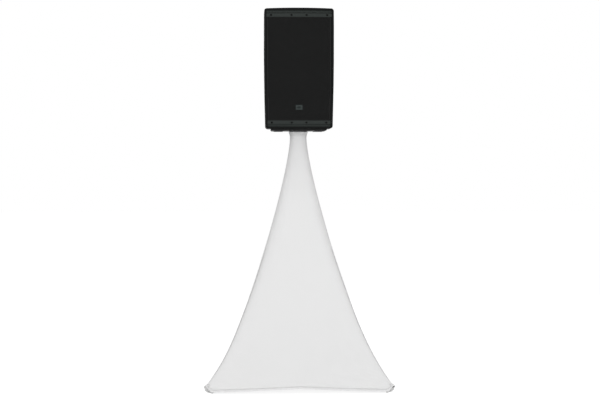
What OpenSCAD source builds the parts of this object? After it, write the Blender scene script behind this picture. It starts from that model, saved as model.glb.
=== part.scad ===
// Active two-way loudspeaker on a folding tripod pole stand, dressed in a stretch cover.
// Millimetres. +Z is up, the grille faces -Y, and the origin is on the floor under the pole.

/* [Speaker cabinet] */
// Height of the speaker's underside above the floor
speaker_z = 1390; // [1250:1:1500]
// Width of the cabinet front at its lower edge
low_width = 360; // [320:1:440]
// Width of the cabinet front at its upper edge
high_width = 372; // [330:1:450]
// How far each side swells out at mid height
side_bulge = 3.4; // [0:0.5:8]
// Height of the cabinet without its plinth
cabinet_height = 644; // [600:1:780]
// Rise of the top edge from its corners to its middle
top_crown = 3; // [1:0.5:10]
// Radius of the four corners of the front
corner_r = 14; // [8:1:30]
// Distance from the pole's axis to the middle of the grille face
front_reach = 155; // [150:1:190]
// Distance from the pole's axis to the rear face
rear_reach = 160; // [150:1:200]
// How far the front bows out between its sides
front_bow = 8; // [2:0.5:10]
// Wall thickness of the mouldings
wall = 4.5; // [3:0.5:6]
// Width of the cabinet rim at each side of the grille
rim_w = 12; // [8:1:20]
// Depth of the recess that holds grille and trim bars
recess_depth = 17; // [15:0.5:22]
// Thickness of the baffle behind that recess
baffle_t = 10; // [8:0.5:16]
// Height of the plinth under the cabinet
plinth_h = 11; // [8:1:20]

/* [Drivers] */
// Outer radius of the woofer's mounting flange
woofer_r = 155; // [120:1:160]
// Width of the horn's flange
horn_w = 300; // [220:1:310]
// Height of the horn's flange
horn_h = 196; // [140:1:200]
// Depth of the horn from baffle to throat
horn_depth = 95; // [70:1:115]
// Outer radius of each bass port
port_r = 30; // [20:1:32]
// Length of each bass port
port_len = 50; // [40:1:80]

/* [Amplifier] */
// Width of the amplifier panel
panel_w = 188; // [170:1:190]
// Height of the amplifier panel
panel_h = 334; // [300:1:360]
// How far the amplifier panel is set in from the rear face
panel_inset = 15; // [13:0.5:25]
// Radius of the channel level knobs
knob_r = 8; // [6:0.5:10]
// Radius of the main level knob
main_knob_r = 13; // [10:0.5:16]

/* [Stand] */
// Outer diameter of the fixed tube
tube_d = 42; // [40:1:48]
// Wall thickness of the fixed tube
tube_wall = 2; // [1.5:0.25:2.5]
// Outer diameter of the sliding mast
mast_d = 35; // [30:1:36]
// Height of the fixed tube's upper end
tube_top = 880; // [820:1:1000]
// Height of the fixed tube's lower end
tube_foot = 58; // [45:1:70]
// Height of the mast's lower end
mast_foot = 560; // [450:1:700]
// Height of the pivots at the top of the legs
leg_pivot_z = 540; // [480:1:640]
// Distance of those pivots from the pole's axis
pivot_r = 45; // [42:1:54]
// Distance from the pole's axis at which a leg meets the floor
leg_reach = 569; // [480:1:580]
// Diameter of the leg tubes
leg_d = 25; // [20:1:28]
// Distance along a leg from its pivot to the brace, and length of the brace
brace_len = 230; // [180:1:232]
// Radius of the rubber bell at the end of a leg
bell_r = 25; // [18:1:28]

/* [Cover] */
// Radius of the cover's neck
neck_r = 45; // [38:1:60]
// Thickness of the cloth with its seams
cloth_t = 1.5; // [0.8:0.1:2.5]

/* [Hidden] */
fit = 0.05;     // gap between pieces that are pressed or screwed together
running = 0.3;  // gap between pieces that slide or turn on each other

// ---- cabinet outline -------------------------------------------------------------------
cab_top = plinth_h + cabinet_height;
recess_y = -front_reach + recess_depth;
baffle_back_y = recess_y + baffle_t;
split_y = baffle_back_y + 28;
lip_top = 12.5;     // height of the rim above the upper trim bar
lip_foot = 7.3;     // height of the rim below the lower trim bar
open_foot = plinth_h + lip_foot;
open_top = cab_top - lip_top;
plan_half = max(low_width, high_width) / 2 + side_bulge + 8;
rear_half = 120;
rear_corner_r = 25;
taper_y = 25;       // where the sides start to draw in towards the rear
rear_foot_cut = 50; // height and depth of the sloping cut under the rear
rear_top_cut = 70;  // height and depth of the sloping cut over the rear

function half_w(z) = let(t = (z - plinth_h) / cabinet_height)
    low_width / 2 + (high_width - low_width) / 2 * t + side_bulge * 4 * t * (1 - t);
function mirror_x(pts) = [for (i = [len(pts) - 1:-1:0]) [-pts[i][0], pts[i][1]]];
function arc(cx, cy, r, from, to, step) =
    [for (a = [from:step:to]) [cx + r * cos(a), cy + r * sin(a)]];
function front_y(x) = -front_reach + front_bow * pow(x / (high_width / 2), 2);

// Right half of the front outline, set in by g, from the foot up to the crown.
function outline_half(g) = let(
    low_x = half_w(plinth_h + corner_r) - corner_r,
    high_x = half_w(cab_top - corner_r) - corner_r,
    shoulder = cab_top - top_crown
) concat(
    arc(low_x, plinth_h + corner_r, corner_r - g, -90, 0, 15),
    [for (t = [0.15:0.1:0.85]) let(z = plinth_h + t * cabinet_height) [half_w(z) - g, z]],
    arc(high_x, shoulder - corner_r, corner_r - g, 0, 90, 15),
    [for (s = [0.75, 0.5, 0.25]) [s * high_x, shoulder - g + top_crown * (1 - s * s)]]
);
// Right half of the plan, set in by g, from the middle of the front round to the rear.
function plan_half_outline(g) = concat(
    [for (s = [0:0.125:1]) [s * plan_half, front_y(s * plan_half) + g]],
    [[plan_half - g, taper_y]],
    arc(rear_half - rear_corner_r, rear_reach - rear_corner_r, rear_corner_r - g, 0, 90, 18)
);
// Right half of the opening that grille and trim bars fill, set in by g.
function opening_half(g) = [
    for (t = [0:0.1:1]) let(z = open_foot + g + t * (open_top - open_foot - 2 * g))
        [half_w(z) - rim_w - g, z]
];
function whole(half) = concat(half, mirror_x(half));

module along_y(y0, y1) {
    translate([0, y1, 0]) rotate([90, 0, 0]) linear_extrude(y1 - y0) children();
}
module cabinet_block(g) {
    intersection() {
        along_y(-front_reach - 1, rear_reach + 1) polygon(whole(outline_half(g)));
        linear_extrude(cab_top + 10) polygon(whole(plan_half_outline(g)));
        rotate([90, 0, 90]) linear_extrude(2 * plan_half + 2, center = true) polygon([
            [-front_reach - 1, plinth_h + g],
            [rear_reach - rear_foot_cut - g * 0.4, plinth_h + g],
            [rear_reach - g, plinth_h + rear_foot_cut + g * 0.4],
            [rear_reach - g, cab_top - rear_top_cut - g * 0.4],
            [rear_reach - rear_top_cut - g * 0.4, cab_top - g],
            [-front_reach - 1, cab_top - g]
        ]);
    }
}
module slab(y0, y1) {
    translate([-plan_half - 1, y0, -1]) cube([2 * plan_half + 2, y1 - y0, cab_top + 12]);
}
module rect(w, h) { square([w, h], center = true); }
// Places children in the speaker, whose own zero is the plinth's underside.
module on_pole() { translate([0, 0, speaker_z]) children(); }
// Turns children so that their +Z runs from front to rear, starting at the recess floor.
module on_baffle(x, z) { translate([x, recess_y, z]) rotate([-90, 0, 0]) children(); }

// ---- driver places ---------------------------------------------------------------------
flange_t = 4;
trim_h = 34.6;      // height of each trim bar
grille_foot = open_foot + trim_h + 0.5;
grille_top = open_top - trim_h - 2.5;
woofer_z = grille_foot + 3.5 + woofer_r;
horn_z = grille_top - 8 - horn_h / 2;
port_x = half_w(woofer_z + woofer_r) - rim_w - port_r - 4;
port_z = horn_z - horn_h / 2 - 12 - port_r;
frame_r = woofer_r - 14;      // radius of the woofer's frame behind its flange
cone_r = woofer_r - 32.5;
coil_r = 38;
basket_depth = 96;
horn_cut_w = horn_w - 24;
horn_cut_h = horn_h - 24;
woofer_screw_r = woofer_r - 6;
bar_screws = [-150, -40.5, 40.5, 150];
screw_r = 2.4;

module ring_of(n, start = 0) { for (i = [0:n - 1]) rotate([0, 0, start + i * 360 / n]) children(); }
module horn_screw_places() {
    for (x = [-horn_w / 2 + 6, 0, horn_w / 2 - 6], z = [-horn_h / 2 + 6, horn_h / 2 - 6])
        translate([x, z, 0]) children();
}

module cabinet_front() {
    color([0.06, 0.06, 0.065]) on_pole() difference() {
        intersection() { cabinet_block(0); slab(-front_reach - 5, split_y); }
        along_y(-front_reach - 5, recess_y) polygon(whole(opening_half(0)));
        intersection() { cabinet_block(wall); slab(baffle_back_y, split_y + 1); }
        on_baffle(0, woofer_z) {
            translate([0, 0, -1]) cylinder(h = flange_t + 1, r = woofer_r + fit, $fn = 96);
            cylinder(h = baffle_t + 2, r = frame_r + running, $fn = 96);
            ring_of(8, 22.5) translate([woofer_screw_r, 0, 0])
                cylinder(h = baffle_t + 2, r = screw_r + fit, $fn = 24);
        }
        on_baffle(0, horn_z) {
            translate([0, 0, -1]) linear_extrude(flange_t + 1) rect(horn_w + 0.4, horn_h + 0.4);
            linear_extrude(baffle_t + 2) rect(horn_cut_w, horn_cut_h);
            horn_screw_places() cylinder(h = baffle_t + 2, r = screw_r + fit, $fn = 24);
        }
        for (s = [-1, 1]) on_baffle(s * port_x, port_z) translate([0, 0, -1])
            cylinder(h = baffle_t + 3, r = port_r + fit, $fn = 64);
        for (x = bar_screws) for (z = [bar_foot_screw_z, bar_top_screw_z])
            on_baffle(x * bar_screw_share(z), z)
                translate([0, 0, -1]) cylinder(h = baffle_t + 3, r = screw_r + fit, $fn = 24);
    }
}

// ---- rear shell ------------------------------------------------------------------------
panel_t = 3;
panel_z = plinth_h + 83 + panel_h / 2;
panel_out_y = rear_reach - panel_inset;
pocket_gap = 1;
ledge = 8;          // width of the ledge that carries the panel
handle_z = plinth_h + 390;
handle_y = -25;
cup_w = 112;
cup_h = 76;
cup_depth = 42;
cup_wall = 3;
cup_x = half_w(handle_z) - 0.6;
socket_wall = 4;
socket_bore_r = mast_d / 2 + 0.5;
socket_r = socket_bore_r + socket_wall;
insert_x = 110;
insert_y = 40;
insert_r = 9;
insert_bore_r = 4.25;
insert_depth = 20;
insert_top = cab_top - 3.5;

module cabinet_rear() {
    color([0.06, 0.06, 0.065]) on_pole() difference() {
        union() {
            difference() {
                intersection() { cabinet_block(0); slab(split_y, rear_reach + 5); }
                intersection() { cabinet_block(wall); slab(split_y - 1, rear_reach + 5); }
            }
            translate([0, 0, panel_z]) along_y(panel_out_y - panel_t - wall, rear_reach - wall + fit)
                rect(panel_w + 2 * pocket_gap + 2 * wall, panel_h + 2 * pocket_gap + 2 * wall);
        }
        translate([0, 0, panel_z]) {
            along_y(panel_out_y - panel_t, rear_reach + 2)
                rect(panel_w + 2 * pocket_gap, panel_h + 2 * pocket_gap);
            along_y(panel_out_y - panel_t - 2 * wall, rear_reach)
                rect(panel_w - 2 * ledge, panel_h - 2 * ledge);
            panel_screw_places() along_y(panel_out_y - 4 * wall, rear_reach)
                circle(screw_r + fit, $fn = 24);
        }
        for (s = [-1, 1]) translate([s * (plan_half - cup_depth), handle_y, handle_z])
            cube([2 * cup_depth, cup_w, cup_h], center = true);
        cylinder(h = plinth_h + 3 * wall, r = socket_r + fit, $fn = 64);
        for (s = [-1, 1]) translate([s * insert_x, insert_y, insert_top - 2 * wall - 6])
            cylinder(h = 40, r = insert_r + fit, $fn = 48);
    }
}

module handle_cups() {
    bar = 18;       // thickness of the grip bar, outside to inside
    color([0.05, 0.05, 0.05]) on_pole() for (s = [-1, 1]) translate([s * cup_x, handle_y, handle_z])
        mirror([s > 0 ? 1 : 0, 0, 0]) union() {
            difference() {
                translate([0, -cup_w / 2 + running, -cup_h / 2 + running])
                    cube([cup_depth, cup_w - 2 * running, cup_h - 2 * running]);
                translate([-1, -cup_w / 2 + cup_wall, -cup_h / 2 + cup_wall])
                    cube([cup_depth - cup_wall + 1, cup_w - 2 * cup_wall, cup_h - 2 * cup_wall]);
            }
            translate([0, -cup_w / 2 + cup_wall - 1, 2]) cube([bar, cup_w - 2 * cup_wall + 2, bar + 2]);
        }
}

module pole_socket() {
    depth = 80;
    color([0.12, 0.12, 0.13]) on_pole() difference() {
        union() {
            cylinder(h = depth + socket_wall, r = socket_r, $fn = 64);
            translate([0, 0, plinth_h + wall + fit]) cylinder(h = 4, r = socket_r + 16, $fn = 64);
        }
        translate([0, 0, -1]) cylinder(h = depth + 1, r = socket_bore_r, $fn = 64);
    }
}

module plinth() {
    color([0.08, 0.08, 0.085]) on_pole() difference() {
        along_y(-front_reach + 25, rear_reach - rear_foot_cut - 5)
            polygon([[-146, 0], [146, 0], [150, 4], [150, plinth_h], [-150, plinth_h], [-150, 4]]);
        translate([0, 0, -1]) cylinder(h = plinth_h + 2, r = socket_r + fit, $fn = 64);
    }
}

module plinth_pads() {
    pad_t = 2.2;
    color([0.03, 0.03, 0.03]) on_pole()
        for (x = [-108, 108], y = [-front_reach + 50, rear_reach - 80])
            translate([x, y, -pad_t / 2]) cube([50, 28, pad_t], center = true);
}

module rigging_inserts() {
    color([0.7, 0.7, 0.72]) on_pole() for (s = [-1, 1]) translate([s * insert_x, insert_y, 0])
        difference() {
            union() {
                translate([0, 0, insert_top - 26]) cylinder(h = 26, r = insert_r, $fn = 48);
                translate([0, 0, insert_top - 7.4]) cylinder(h = 3.5, r = insert_r + 4, $fn = 48);
            }
            translate([0, 0, insert_top - insert_depth]) cylinder(h = 40, r = insert_bore_r, $fn = 32);
        }
}

// ---- grille and trim -------------------------------------------------------------------
// A sheet that follows the bowed front, from one depth behind it to another.
module bowed_sheet(d0, d1, z0, z1) {
    span = [for (i = [-8:8]) i / 8 * (plan_half - 2)];
    translate([0, 0, z0]) linear_extrude(z1 - z0) polygon(concat(
        [for (x = span) [x, front_y(x) + d0]],
        [for (i = [16:-1:0]) [span[i], front_y(span[i]) + d1]]
    ));
}
module in_opening(gap) {
    intersection() {
        children();
        along_y(-front_reach - 5, recess_y) polygon(whole(opening_half(gap)));
    }
}
grille_depth = 2.5;
grille_t = 1.5;
foam_t = 2.5;

module grille() {
    color([0.11, 0.11, 0.11]) on_pole() in_opening(0.4)
        bowed_sheet(grille_depth, grille_depth + grille_t, grille_foot, grille_top);
}
module grille_foam() {
    color([0.02, 0.02, 0.02]) on_pole() in_opening(1) bowed_sheet(
        grille_depth + grille_t, grille_depth + grille_t + foam_t, grille_foot + 1, grille_top - 1
    );
}

bar_foot_screw_z = open_foot + 24;
bar_top_screw_z = open_top - 26.5;
// The screws draw in with the bar where the cabinet is narrower.
function bar_screw_share(z) = half_w(z) / half_w(bar_top_screw_z);

// A bar swept along the bow. The profile is [depth behind the front, height]; a depth over 50
// stands for the flat back on the recess floor.
module swept_bar(profile) {
    n = len(profile);
    span = [for (i = [-7:7]) i / 7 * (plan_half - 2)];
    pts = [for (x = span) for (p = profile) [x, p[0] > 50 ? recess_y : front_y(x) + p[0], p[1]]];
    last = len(span) - 1;
    polyhedron(pts, concat(
        [[for (j = [0:n - 1]) j]],
        [[for (j = [n - 1:-1:0]) last * n + j]],
        [for (i = [0:last - 1]) for (j = [0:n - 1]) let(k = (j + 1) % n)
            [i * n + j, (i + 1) * n + j, i * n + k]],
        [for (i = [0:last - 1]) for (j = [0:n - 1]) let(k = (j + 1) % n)
            [i * n + k, (i + 1) * n + j, (i + 1) * n + k]]
    ));
}
head_r = 5;         // head of a trim screw
head_depth = 4;     // depth of the counterbore it sits in
module trim_bar(z_far, z_near, screw_z) {
    // z_far is the edge next to the cabinet's rim, z_near the edge next to the grille
    up = z_far > z_near ? 1 : -1;
    profile = [
        [99, z_near], [0.5, z_near], [0.5, z_near + up * 18.5], [7, z_near + up * 18.5],
        [7, z_near + up * 23], [0, z_near + up * 23], [5, z_far], [99, z_far]
    ];
    color([0.2, 0.21, 0.21]) on_pole() difference() {
        in_opening(0.4) swept_bar(up > 0 ? profile : [for (i = [7:-1:0]) profile[i]]);
        for (x = bar_screws) let(sx = x * bar_screw_share(screw_z)) on_baffle(sx, screw_z) {
            translate([0, 0, -30]) cylinder(h = 40, r = screw_r + fit, $fn = 24);
            translate([0, 0, front_y(sx) - recess_y - 5])
                cylinder(h = 5 + head_depth, r = head_r + 0.6, $fn = 36);
        }
    }
}
module trim_bar_top() { trim_bar(open_top - 0.5, grille_top + 0.5, bar_top_screw_z); }
module trim_bar_bottom() { trim_bar(open_foot + 0.5, grille_foot - 0.3, bar_foot_screw_z); }

// A pan-head screw with a hexagon socket; its head stands on the plane z = 0.
module pan_screw(head, head_h, shank, len) {
    difference() {
        union() {
            translate([0, 0, -head_h]) cylinder(h = head_h, r = head, $fn = 32);
            cylinder(h = len, r = shank, $fn = 24);
        }
        translate([0, 0, -head_h - 1]) cylinder(h = 1 + head_h * 0.6, r = head * 0.5, $fn = 6);
    }
}
module grille_screws() {
    color([0.04, 0.04, 0.04]) on_pole() for (x = bar_screws, z = [bar_foot_screw_z, bar_top_screw_z])
        let(sx = x * bar_screw_share(z), seat = front_y(sx) + head_depth)
            translate([sx, seat, z]) rotate([-90, 0, 0])
                pan_screw(head_r, 2.6, screw_r, recess_y + baffle_t - seat);
}
module badge() {
    color([0.25, 0.26, 0.26]) on_pole() translate([0, 0, grille_foot + 70]) {
        along_y(-front_reach + 0.3, -front_reach + grille_depth - fit) rect(36, 26);
        along_y(-front_reach - 0.7, -front_reach + 0.3) difference() { rect(36, 26); rect(32, 22); }
        for (z = [-6, 0, 6]) translate([0, 0, z])
            along_y(-front_reach - 0.4, -front_reach + 0.3) rect(24 - abs(z), 2.4);
    }
}

// ---- woofer ----------------------------------------------------------------------------
basket_foot_r = 79;             // inside of the basket where it meets its rear plate
// Inside radius of the basket at a depth behind the recess floor
function basket_in(d) = basket_foot_r
    + (frame_r - 4 - basket_foot_r) * (basket_depth - 3 - d) / (basket_depth - 12);
spider_z = 80;
spider_r = basket_in(spider_z + 1) - fit;
module woofer_basket() {
    color([0.1, 0.1, 0.1]) on_pole() on_baffle(0, woofer_z) difference() {
        rotate_extrude($fn = 96) polygon([
            [frame_r - 4, 0], [woofer_r, 0], [woofer_r, flange_t], [frame_r, flange_t], [frame_r, 10],
            [basket_foot_r + 3, basket_depth - 4], [basket_foot_r + 3, basket_depth], [coil_r + 2, basket_depth],
            [coil_r + 2, basket_depth - 3], [basket_foot_r, basket_depth - 3], [frame_r - 4, 9]
        ]);
        ring_of(6) translate([60, -22, 25]) cube([frame_r, 44, 50]);
        ring_of(8, 22.5) translate([woofer_screw_r, 0, -1])
            cylinder(h = flange_t + 2, r = screw_r + 0.2, $fn = 24);
    }
}
module woofer_magnet() {
    color([0.3, 0.3, 0.31]) on_pole() on_baffle(0, woofer_z) difference() {
        union() {
            translate([0, 0, basket_depth + fit]) cylinder(h = 25, r = 78, $fn = 80);
            translate([0, 0, basket_depth + 25]) cylinder(h = 6, r = 70, $fn = 80);
            translate([0, 0, basket_depth - 34]) cylinder(h = 40, r = coil_r - 2, $fn = 64);
        }
        translate([0, 0, basket_depth - 40]) cylinder(h = 90, r = 9, $fn = 32);
    }
}
module woofer_cone() {
    color([0.09, 0.09, 0.09]) on_pole() on_baffle(0, woofer_z) rotate_extrude($fn = 96) polygon([
        [cone_r, -1.2], [cone_r, 1.3], [coil_r + 2, 52], [coil_r + 0.2, 52], [coil_r + 0.2, 49]
    ]);
}
module woofer_surround() {
    mid = (cone_r + fit + frame_r - 4) / 2;
    roll = mid - cone_r - fit;
    color([0.05, 0.05, 0.05]) on_pole() on_baffle(0, woofer_z) rotate_extrude($fn = 96) polygon(concat(
        [for (a = [180:-20:0]) [mid + roll * cos(a), -1.2 - 4 * sin(a)]],
        [[frame_r + 2.4, -1.2], [frame_r + 2.4, -fit]],
        [for (a = [0:20:180]) [mid + (roll - 1.2) * cos(a), -fit - 4 * sin(a)]],
        [[cone_r + fit, -fit]]
    ));
}
module dust_cap() {
    dome = [for (i = [0:6]) [coil_r * i / 6, 36 + 14 * pow(i / 6, 2)]];
    color([0.07, 0.07, 0.07]) on_pole() on_baffle(0, woofer_z) rotate_extrude($fn = 64)
        polygon(concat(dome, [for (i = [6:-1:0]) [dome[i][0], dome[i][1] + 1]]));
}
module voice_coil() {
    color([0.7, 0.4, 0.2]) on_pole() on_baffle(0, woofer_z) translate([0, 0, 52.2]) difference() {
        cylinder(h = 34, r = coil_r, $fn = 64);
        translate([0, 0, -1]) cylinder(h = 40, r = coil_r - 1, $fn = 64);
    }
}
spider_in = coil_r + 0.2;
module spider() {
    color([0.75, 0.6, 0.35]) on_pole() on_baffle(0, woofer_z) rotate_extrude($fn = 64) polygon(concat(
        [for (i = [0:16]) [spider_in + i * (spider_r - spider_in) / 16, spider_z + (i % 2) * 1.6]],
        [for (i = [16:-1:0]) [spider_in + i * (spider_r - spider_in) / 16, spider_z + 1 + (i % 2) * 1.6]]
    ));
}
module woofer_screws() {
    color([0.15, 0.15, 0.15]) on_pole() on_baffle(0, woofer_z) ring_of(8, 22.5)
        translate([woofer_screw_r, 0, 0]) pan_screw(4.5, 3, screw_r, baffle_t);
}

// ---- horn ------------------------------------------------------------------------------
module horn_loft(extra, lift) {
    mid_z = horn_depth * 0.47;
    hull() {
        translate([0, 0, -lift]) linear_extrude(0.1) rect(horn_cut_w - 8 + extra, horn_cut_h - 8 + extra);
        translate([0, 0, mid_z]) linear_extrude(0.1) rect(110 + extra, 84 + extra);
    }
    hull() {
        translate([0, 0, mid_z]) linear_extrude(0.1) rect(110 + extra, 84 + extra);
        translate([0, 0, horn_depth - 0.1 + lift]) cylinder(h = 0.1, r = 12.5 + extra / 2, $fn = 32);
    }
}
module horn() {
    color([0.07, 0.07, 0.07]) on_pole() on_baffle(0, horn_z) difference() {
        union() {
            linear_extrude(flange_t) rect(horn_w, horn_h);
            horn_loft(5, 0);
        }
        horn_loft(0, 0.2);
        horn_screw_places() translate([0, 0, -1]) cylinder(h = flange_t + 2, r = screw_r + 0.2, $fn = 24);
    }
}
module horn_screws() {
    color([0.15, 0.15, 0.15]) on_pole() on_baffle(0, horn_z)
        horn_screw_places() pan_screw(4, 2.6, screw_r, baffle_t);
}
module compression_driver() {
    color([0.2, 0.2, 0.21]) on_pole() on_baffle(0, horn_z) translate([0, 0, horn_depth + 0.2])
        difference() {
            union() {
                cylinder(h = 6, r = 30, $fn = 48);
                translate([0, 0, 6]) cylinder(h = 36, r = 45, $fn = 64);
                translate([0, 0, 42]) cylinder(h = 6, r = 34, $fn = 48);
            }
            translate([0, 0, -1]) cylinder(h = 12, r = 12.5, $fn = 32);
        }
}
module port_tubes() {
    color([0.06, 0.06, 0.06]) on_pole() for (s = [-1, 1]) on_baffle(s * port_x, port_z) difference() {
        union() {
            cylinder(h = port_len, r = port_r, $fn = 64);
            translate([0, 0, -1.5 - fit]) cylinder(h = 1.5, r = port_r + 3, $fn = 64);
            translate([0, 0, -0.1]) cylinder(h = 1, r = port_r, $fn = 64);
        }
        translate([0, 0, -3]) cylinder(h = port_len + 5, r = port_r - 2.5, $fn = 64);
    }
}

// ---- amplifier -------------------------------------------------------------------------
// Sockets and controls are placed up from the panel's foot; the heat sink fills what is left.
panel_foot = panel_z - panel_h / 2;
input_x = 48;
input_z = panel_foot + 121;
gain_z = panel_foot + 173;
main_z = panel_foot + 161;
out_z = panel_foot + 49;
inlet_z = panel_foot + 45;
inlet_x = 48;
rocker_x = 4;
eq_z = panel_foot + 111;
led_z = panel_foot + 133;
sink_foot = panel_foot + 201;
sink_top = panel_foot + panel_h - 17;
sink_h = sink_top - sink_foot;
sink_z = (sink_top + sink_foot) / 2;
board_h = panel_h - 64;

// Places children on the outside of the panel, +Z pointing out of the rear.
module on_panel(x, z) { translate([x, panel_out_y, z]) rotate([-90, 0, 0]) children(); }
module panel_screw_places() {
    for (x = [-panel_w / 2 + 4.5, panel_w / 2 - 4.5], z = [-panel_h / 2 + 4.5, 0, panel_h / 2 - 4.5])
        translate([x, 0, z]) children();
}
module amp_panel() {
    color([0.09, 0.09, 0.1]) on_pole() difference() {
        translate([0, 0, panel_z]) along_y(panel_out_y - panel_t + fit, panel_out_y) rect(panel_w, panel_h);
        translate([0, 0, panel_z]) panel_screw_places()
            along_y(panel_out_y - 2 * panel_t, panel_out_y + 1) circle(screw_r + 0.2, $fn = 24);
        for (s = [-1, 1]) {
            on_panel(s * input_x, input_z) translate([0, 0, -5]) cylinder(h = 10, r = 12 + fit, $fn = 48);
            on_panel(s * input_x, gain_z) translate([0, 0, -5]) cylinder(h = 10, r = 3.3, $fn = 24);
            on_panel(s * 22, input_z) translate([0, 0, -5]) cylinder(h = 10, r = 3.8, $fn = 24);
        }
        on_panel(-input_x, out_z) translate([0, 0, -5]) cylinder(h = 10, r = 12 + fit, $fn = 48);
        on_panel(0, main_z) translate([0, 0, -5]) cylinder(h = 10, r = 3.3, $fn = 24);
        on_panel(0, eq_z) translate([0, 0, -5]) cylinder(h = 10, r = 5.3, $fn = 24);
        for (x = [-9, 0, 9]) on_panel(x, led_z) translate([0, 0, -5]) cylinder(h = 10, r = 1.65, $fn = 24);
        on_panel(inlet_x, inlet_z) translate([0, 0, -5]) linear_extrude(10) rect(28.2, 20.2);
        on_panel(rocker_x, inlet_z) translate([0, 0, -5]) linear_extrude(10) rect(15.2, 23.2);
    }
}
module amp_screws() {
    color([0.6, 0.6, 0.62]) on_pole() translate([0, 0, panel_z]) panel_screw_places()
        translate([0, panel_out_y + fit, 0]) rotate([90, 0, 0]) pan_screw(4, 2.4, screw_r, 12);
}
module heat_sink() {
    fins = 13;
    fin_w = 150;
    color([0.1, 0.1, 0.1]) on_pole() translate([0, 0, sink_z]) {
        along_y(panel_out_y + fit, panel_out_y + 3) rect(fin_w, sink_h);
        for (i = [0:fins - 1]) translate([-fin_w / 2 + 1.2 + i * (fin_w - 2.4) / (fins - 1), 0, 0])
            along_y(panel_out_y + 2.9, panel_out_y + 13) rect(2.4, sink_h);
    }
}
module amp_board() {
    color([0.05, 0.3, 0.15]) on_pole() translate([0, panel_out_y - panel_t, panel_z]) {
        along_y(-28, -26.4) rect(150, board_h);
        for (x = [-68, 68], z = [-board_h / 2 + 10, board_h / 2 - 10]) translate([x, 0, z])
            along_y(-26.5, 0) circle(3, $fn = 24);
    }
}
module power_supply() {
    color([0.75, 0.5, 0.15]) on_pole() translate([0, panel_out_y - panel_t - 28 - fit, panel_z])
        rotate([90, 0, 0]) {
            translate([0, 60, 0]) difference() {
                cylinder(h = 34, r = 42, $fn = 64);
                translate([0, 0, -1]) cylinder(h = 40, r = 13, $fn = 32);
            }
            for (x = [-45, -15, 15, 45]) translate([x, -30, 0]) cylinder(h = 32, r = 11, $fn = 32);
        }
}
socket_r_in = 9.5;
socket_in_depth = 15;
module xlr_socket() {
    difference() {
        union() {
            linear_extrude(2.4) rect(26, 31);
            translate([0, 0, -22]) cylinder(h = 23, r = 12, $fn = 48);
        }
        translate([0, 0, 2.4 - socket_in_depth]) cylinder(h = socket_in_depth + 1, r = socket_r_in, $fn = 48);
        for (a = [90, 210, 330]) rotate([0, 0, a]) translate([5.2, 0, -18])
            cylinder(h = 8, r = 1.3, $fn = 16);
    }
}
module xlr_sockets() {
    color([0.05, 0.05, 0.05]) on_pole() {
        for (s = [-1, 1]) on_panel(s * input_x, input_z) translate([0, 0, fit]) xlr_socket();
        on_panel(-input_x, out_z) translate([0, 0, fit]) {
            difference() {
                union() {
                    linear_extrude(2.4) rect(26, 31);
                    translate([0, 0, -22]) cylinder(h = 23, r = 12, $fn = 48);
                }
                translate([0, 0, -12]) cylinder(h = 20, r = 10, $fn = 48);
            }
            for (a = [90, 210, 330]) rotate([0, 0, a]) translate([5.2, 0, -12.1])
                cylinder(h = 11, r = 1.2, $fn = 16);
        }
    }
}
module power_inlet() {
    color([0.04, 0.04, 0.04]) on_pole() on_panel(inlet_x, inlet_z) translate([0, 0, fit]) {
        difference() {
            union() {
                linear_extrude(2.4) rect(46, 26);
                translate([0, 0, -24]) linear_extrude(25) rect(28, 20);
            }
            translate([0, 0, -16]) linear_extrude(20) rect(24, 16);
        }
        for (p = [[-7, -2], [0, 2], [7, -2]]) translate([p[0], p[1], -16.1])
            linear_extrude(10) rect(2, 4);
    }
}
module status_leds() {
    color([0.2, 0.8, 0.3]) on_pole() for (x = [-9, 0, 9]) on_panel(x, led_z) {
        translate([0, 0, -4]) cylinder(h = 4, r = 1.55, $fn = 24);
        sphere(1.55, $fn = 24);
    }
}
module knob(r, h) {
    translate([0, 0, 1]) difference() {
        union() {
            cylinder(h = 2, r = r + 1, $fn = 40);
            cylinder(h = h, r = r, $fn = 40);
            ring_of(12) translate([r, 0, 2]) cylinder(h = h - 3, r = 0.7, $fn = 16);
        }
        translate([0, -r * 1.2, h - 0.8]) linear_extrude(2) translate([-0.6, 0]) square([1.2, r]);
    }
    translate([0, 0, -9]) cylinder(h = 11, r = 3, $fn = 24);
}
module gain_knob_a() { color([0.1, 0.1, 0.1]) on_pole() on_panel(-input_x, gain_z) knob(knob_r, 11); }
module gain_knob_b() { color([0.1, 0.1, 0.1]) on_pole() on_panel(input_x, gain_z) knob(knob_r, 11); }
module main_knob() { color([0.1, 0.1, 0.1]) on_pole() on_panel(0, main_z) knob(main_knob_r, 12); }
module push_button(r) {
    translate([0, 0, -9]) cylinder(h = 14, r = r, $fn = 32);
}
button_travel = 2;
module line_button_a() { color([0.3, 0.3, 0.3]) on_pole() on_panel(-22, input_z) push_button(3.5); }
module line_button_b() { color([0.3, 0.3, 0.3]) on_pole() on_panel(22, input_z) push_button(3.5); }
module eq_button() { color([0.3, 0.3, 0.3]) on_pole() on_panel(0, eq_z) push_button(5); }
module power_rocker() {
    // A rocker that turns about a pin across its middle; its two faces meet in a shallow V.
    color([0.5, 0.05, 0.05]) on_pole() translate([rocker_x, panel_out_y - 2, inlet_z])
        rotate([90, 0, 90]) linear_extrude(14, center = true)
            polygon([[-6, -8], [3.5, -10.6], [4.6, -10], [2.6, 0], [1, 10], [0, 10.6], [-6, 8]]);
}

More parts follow.
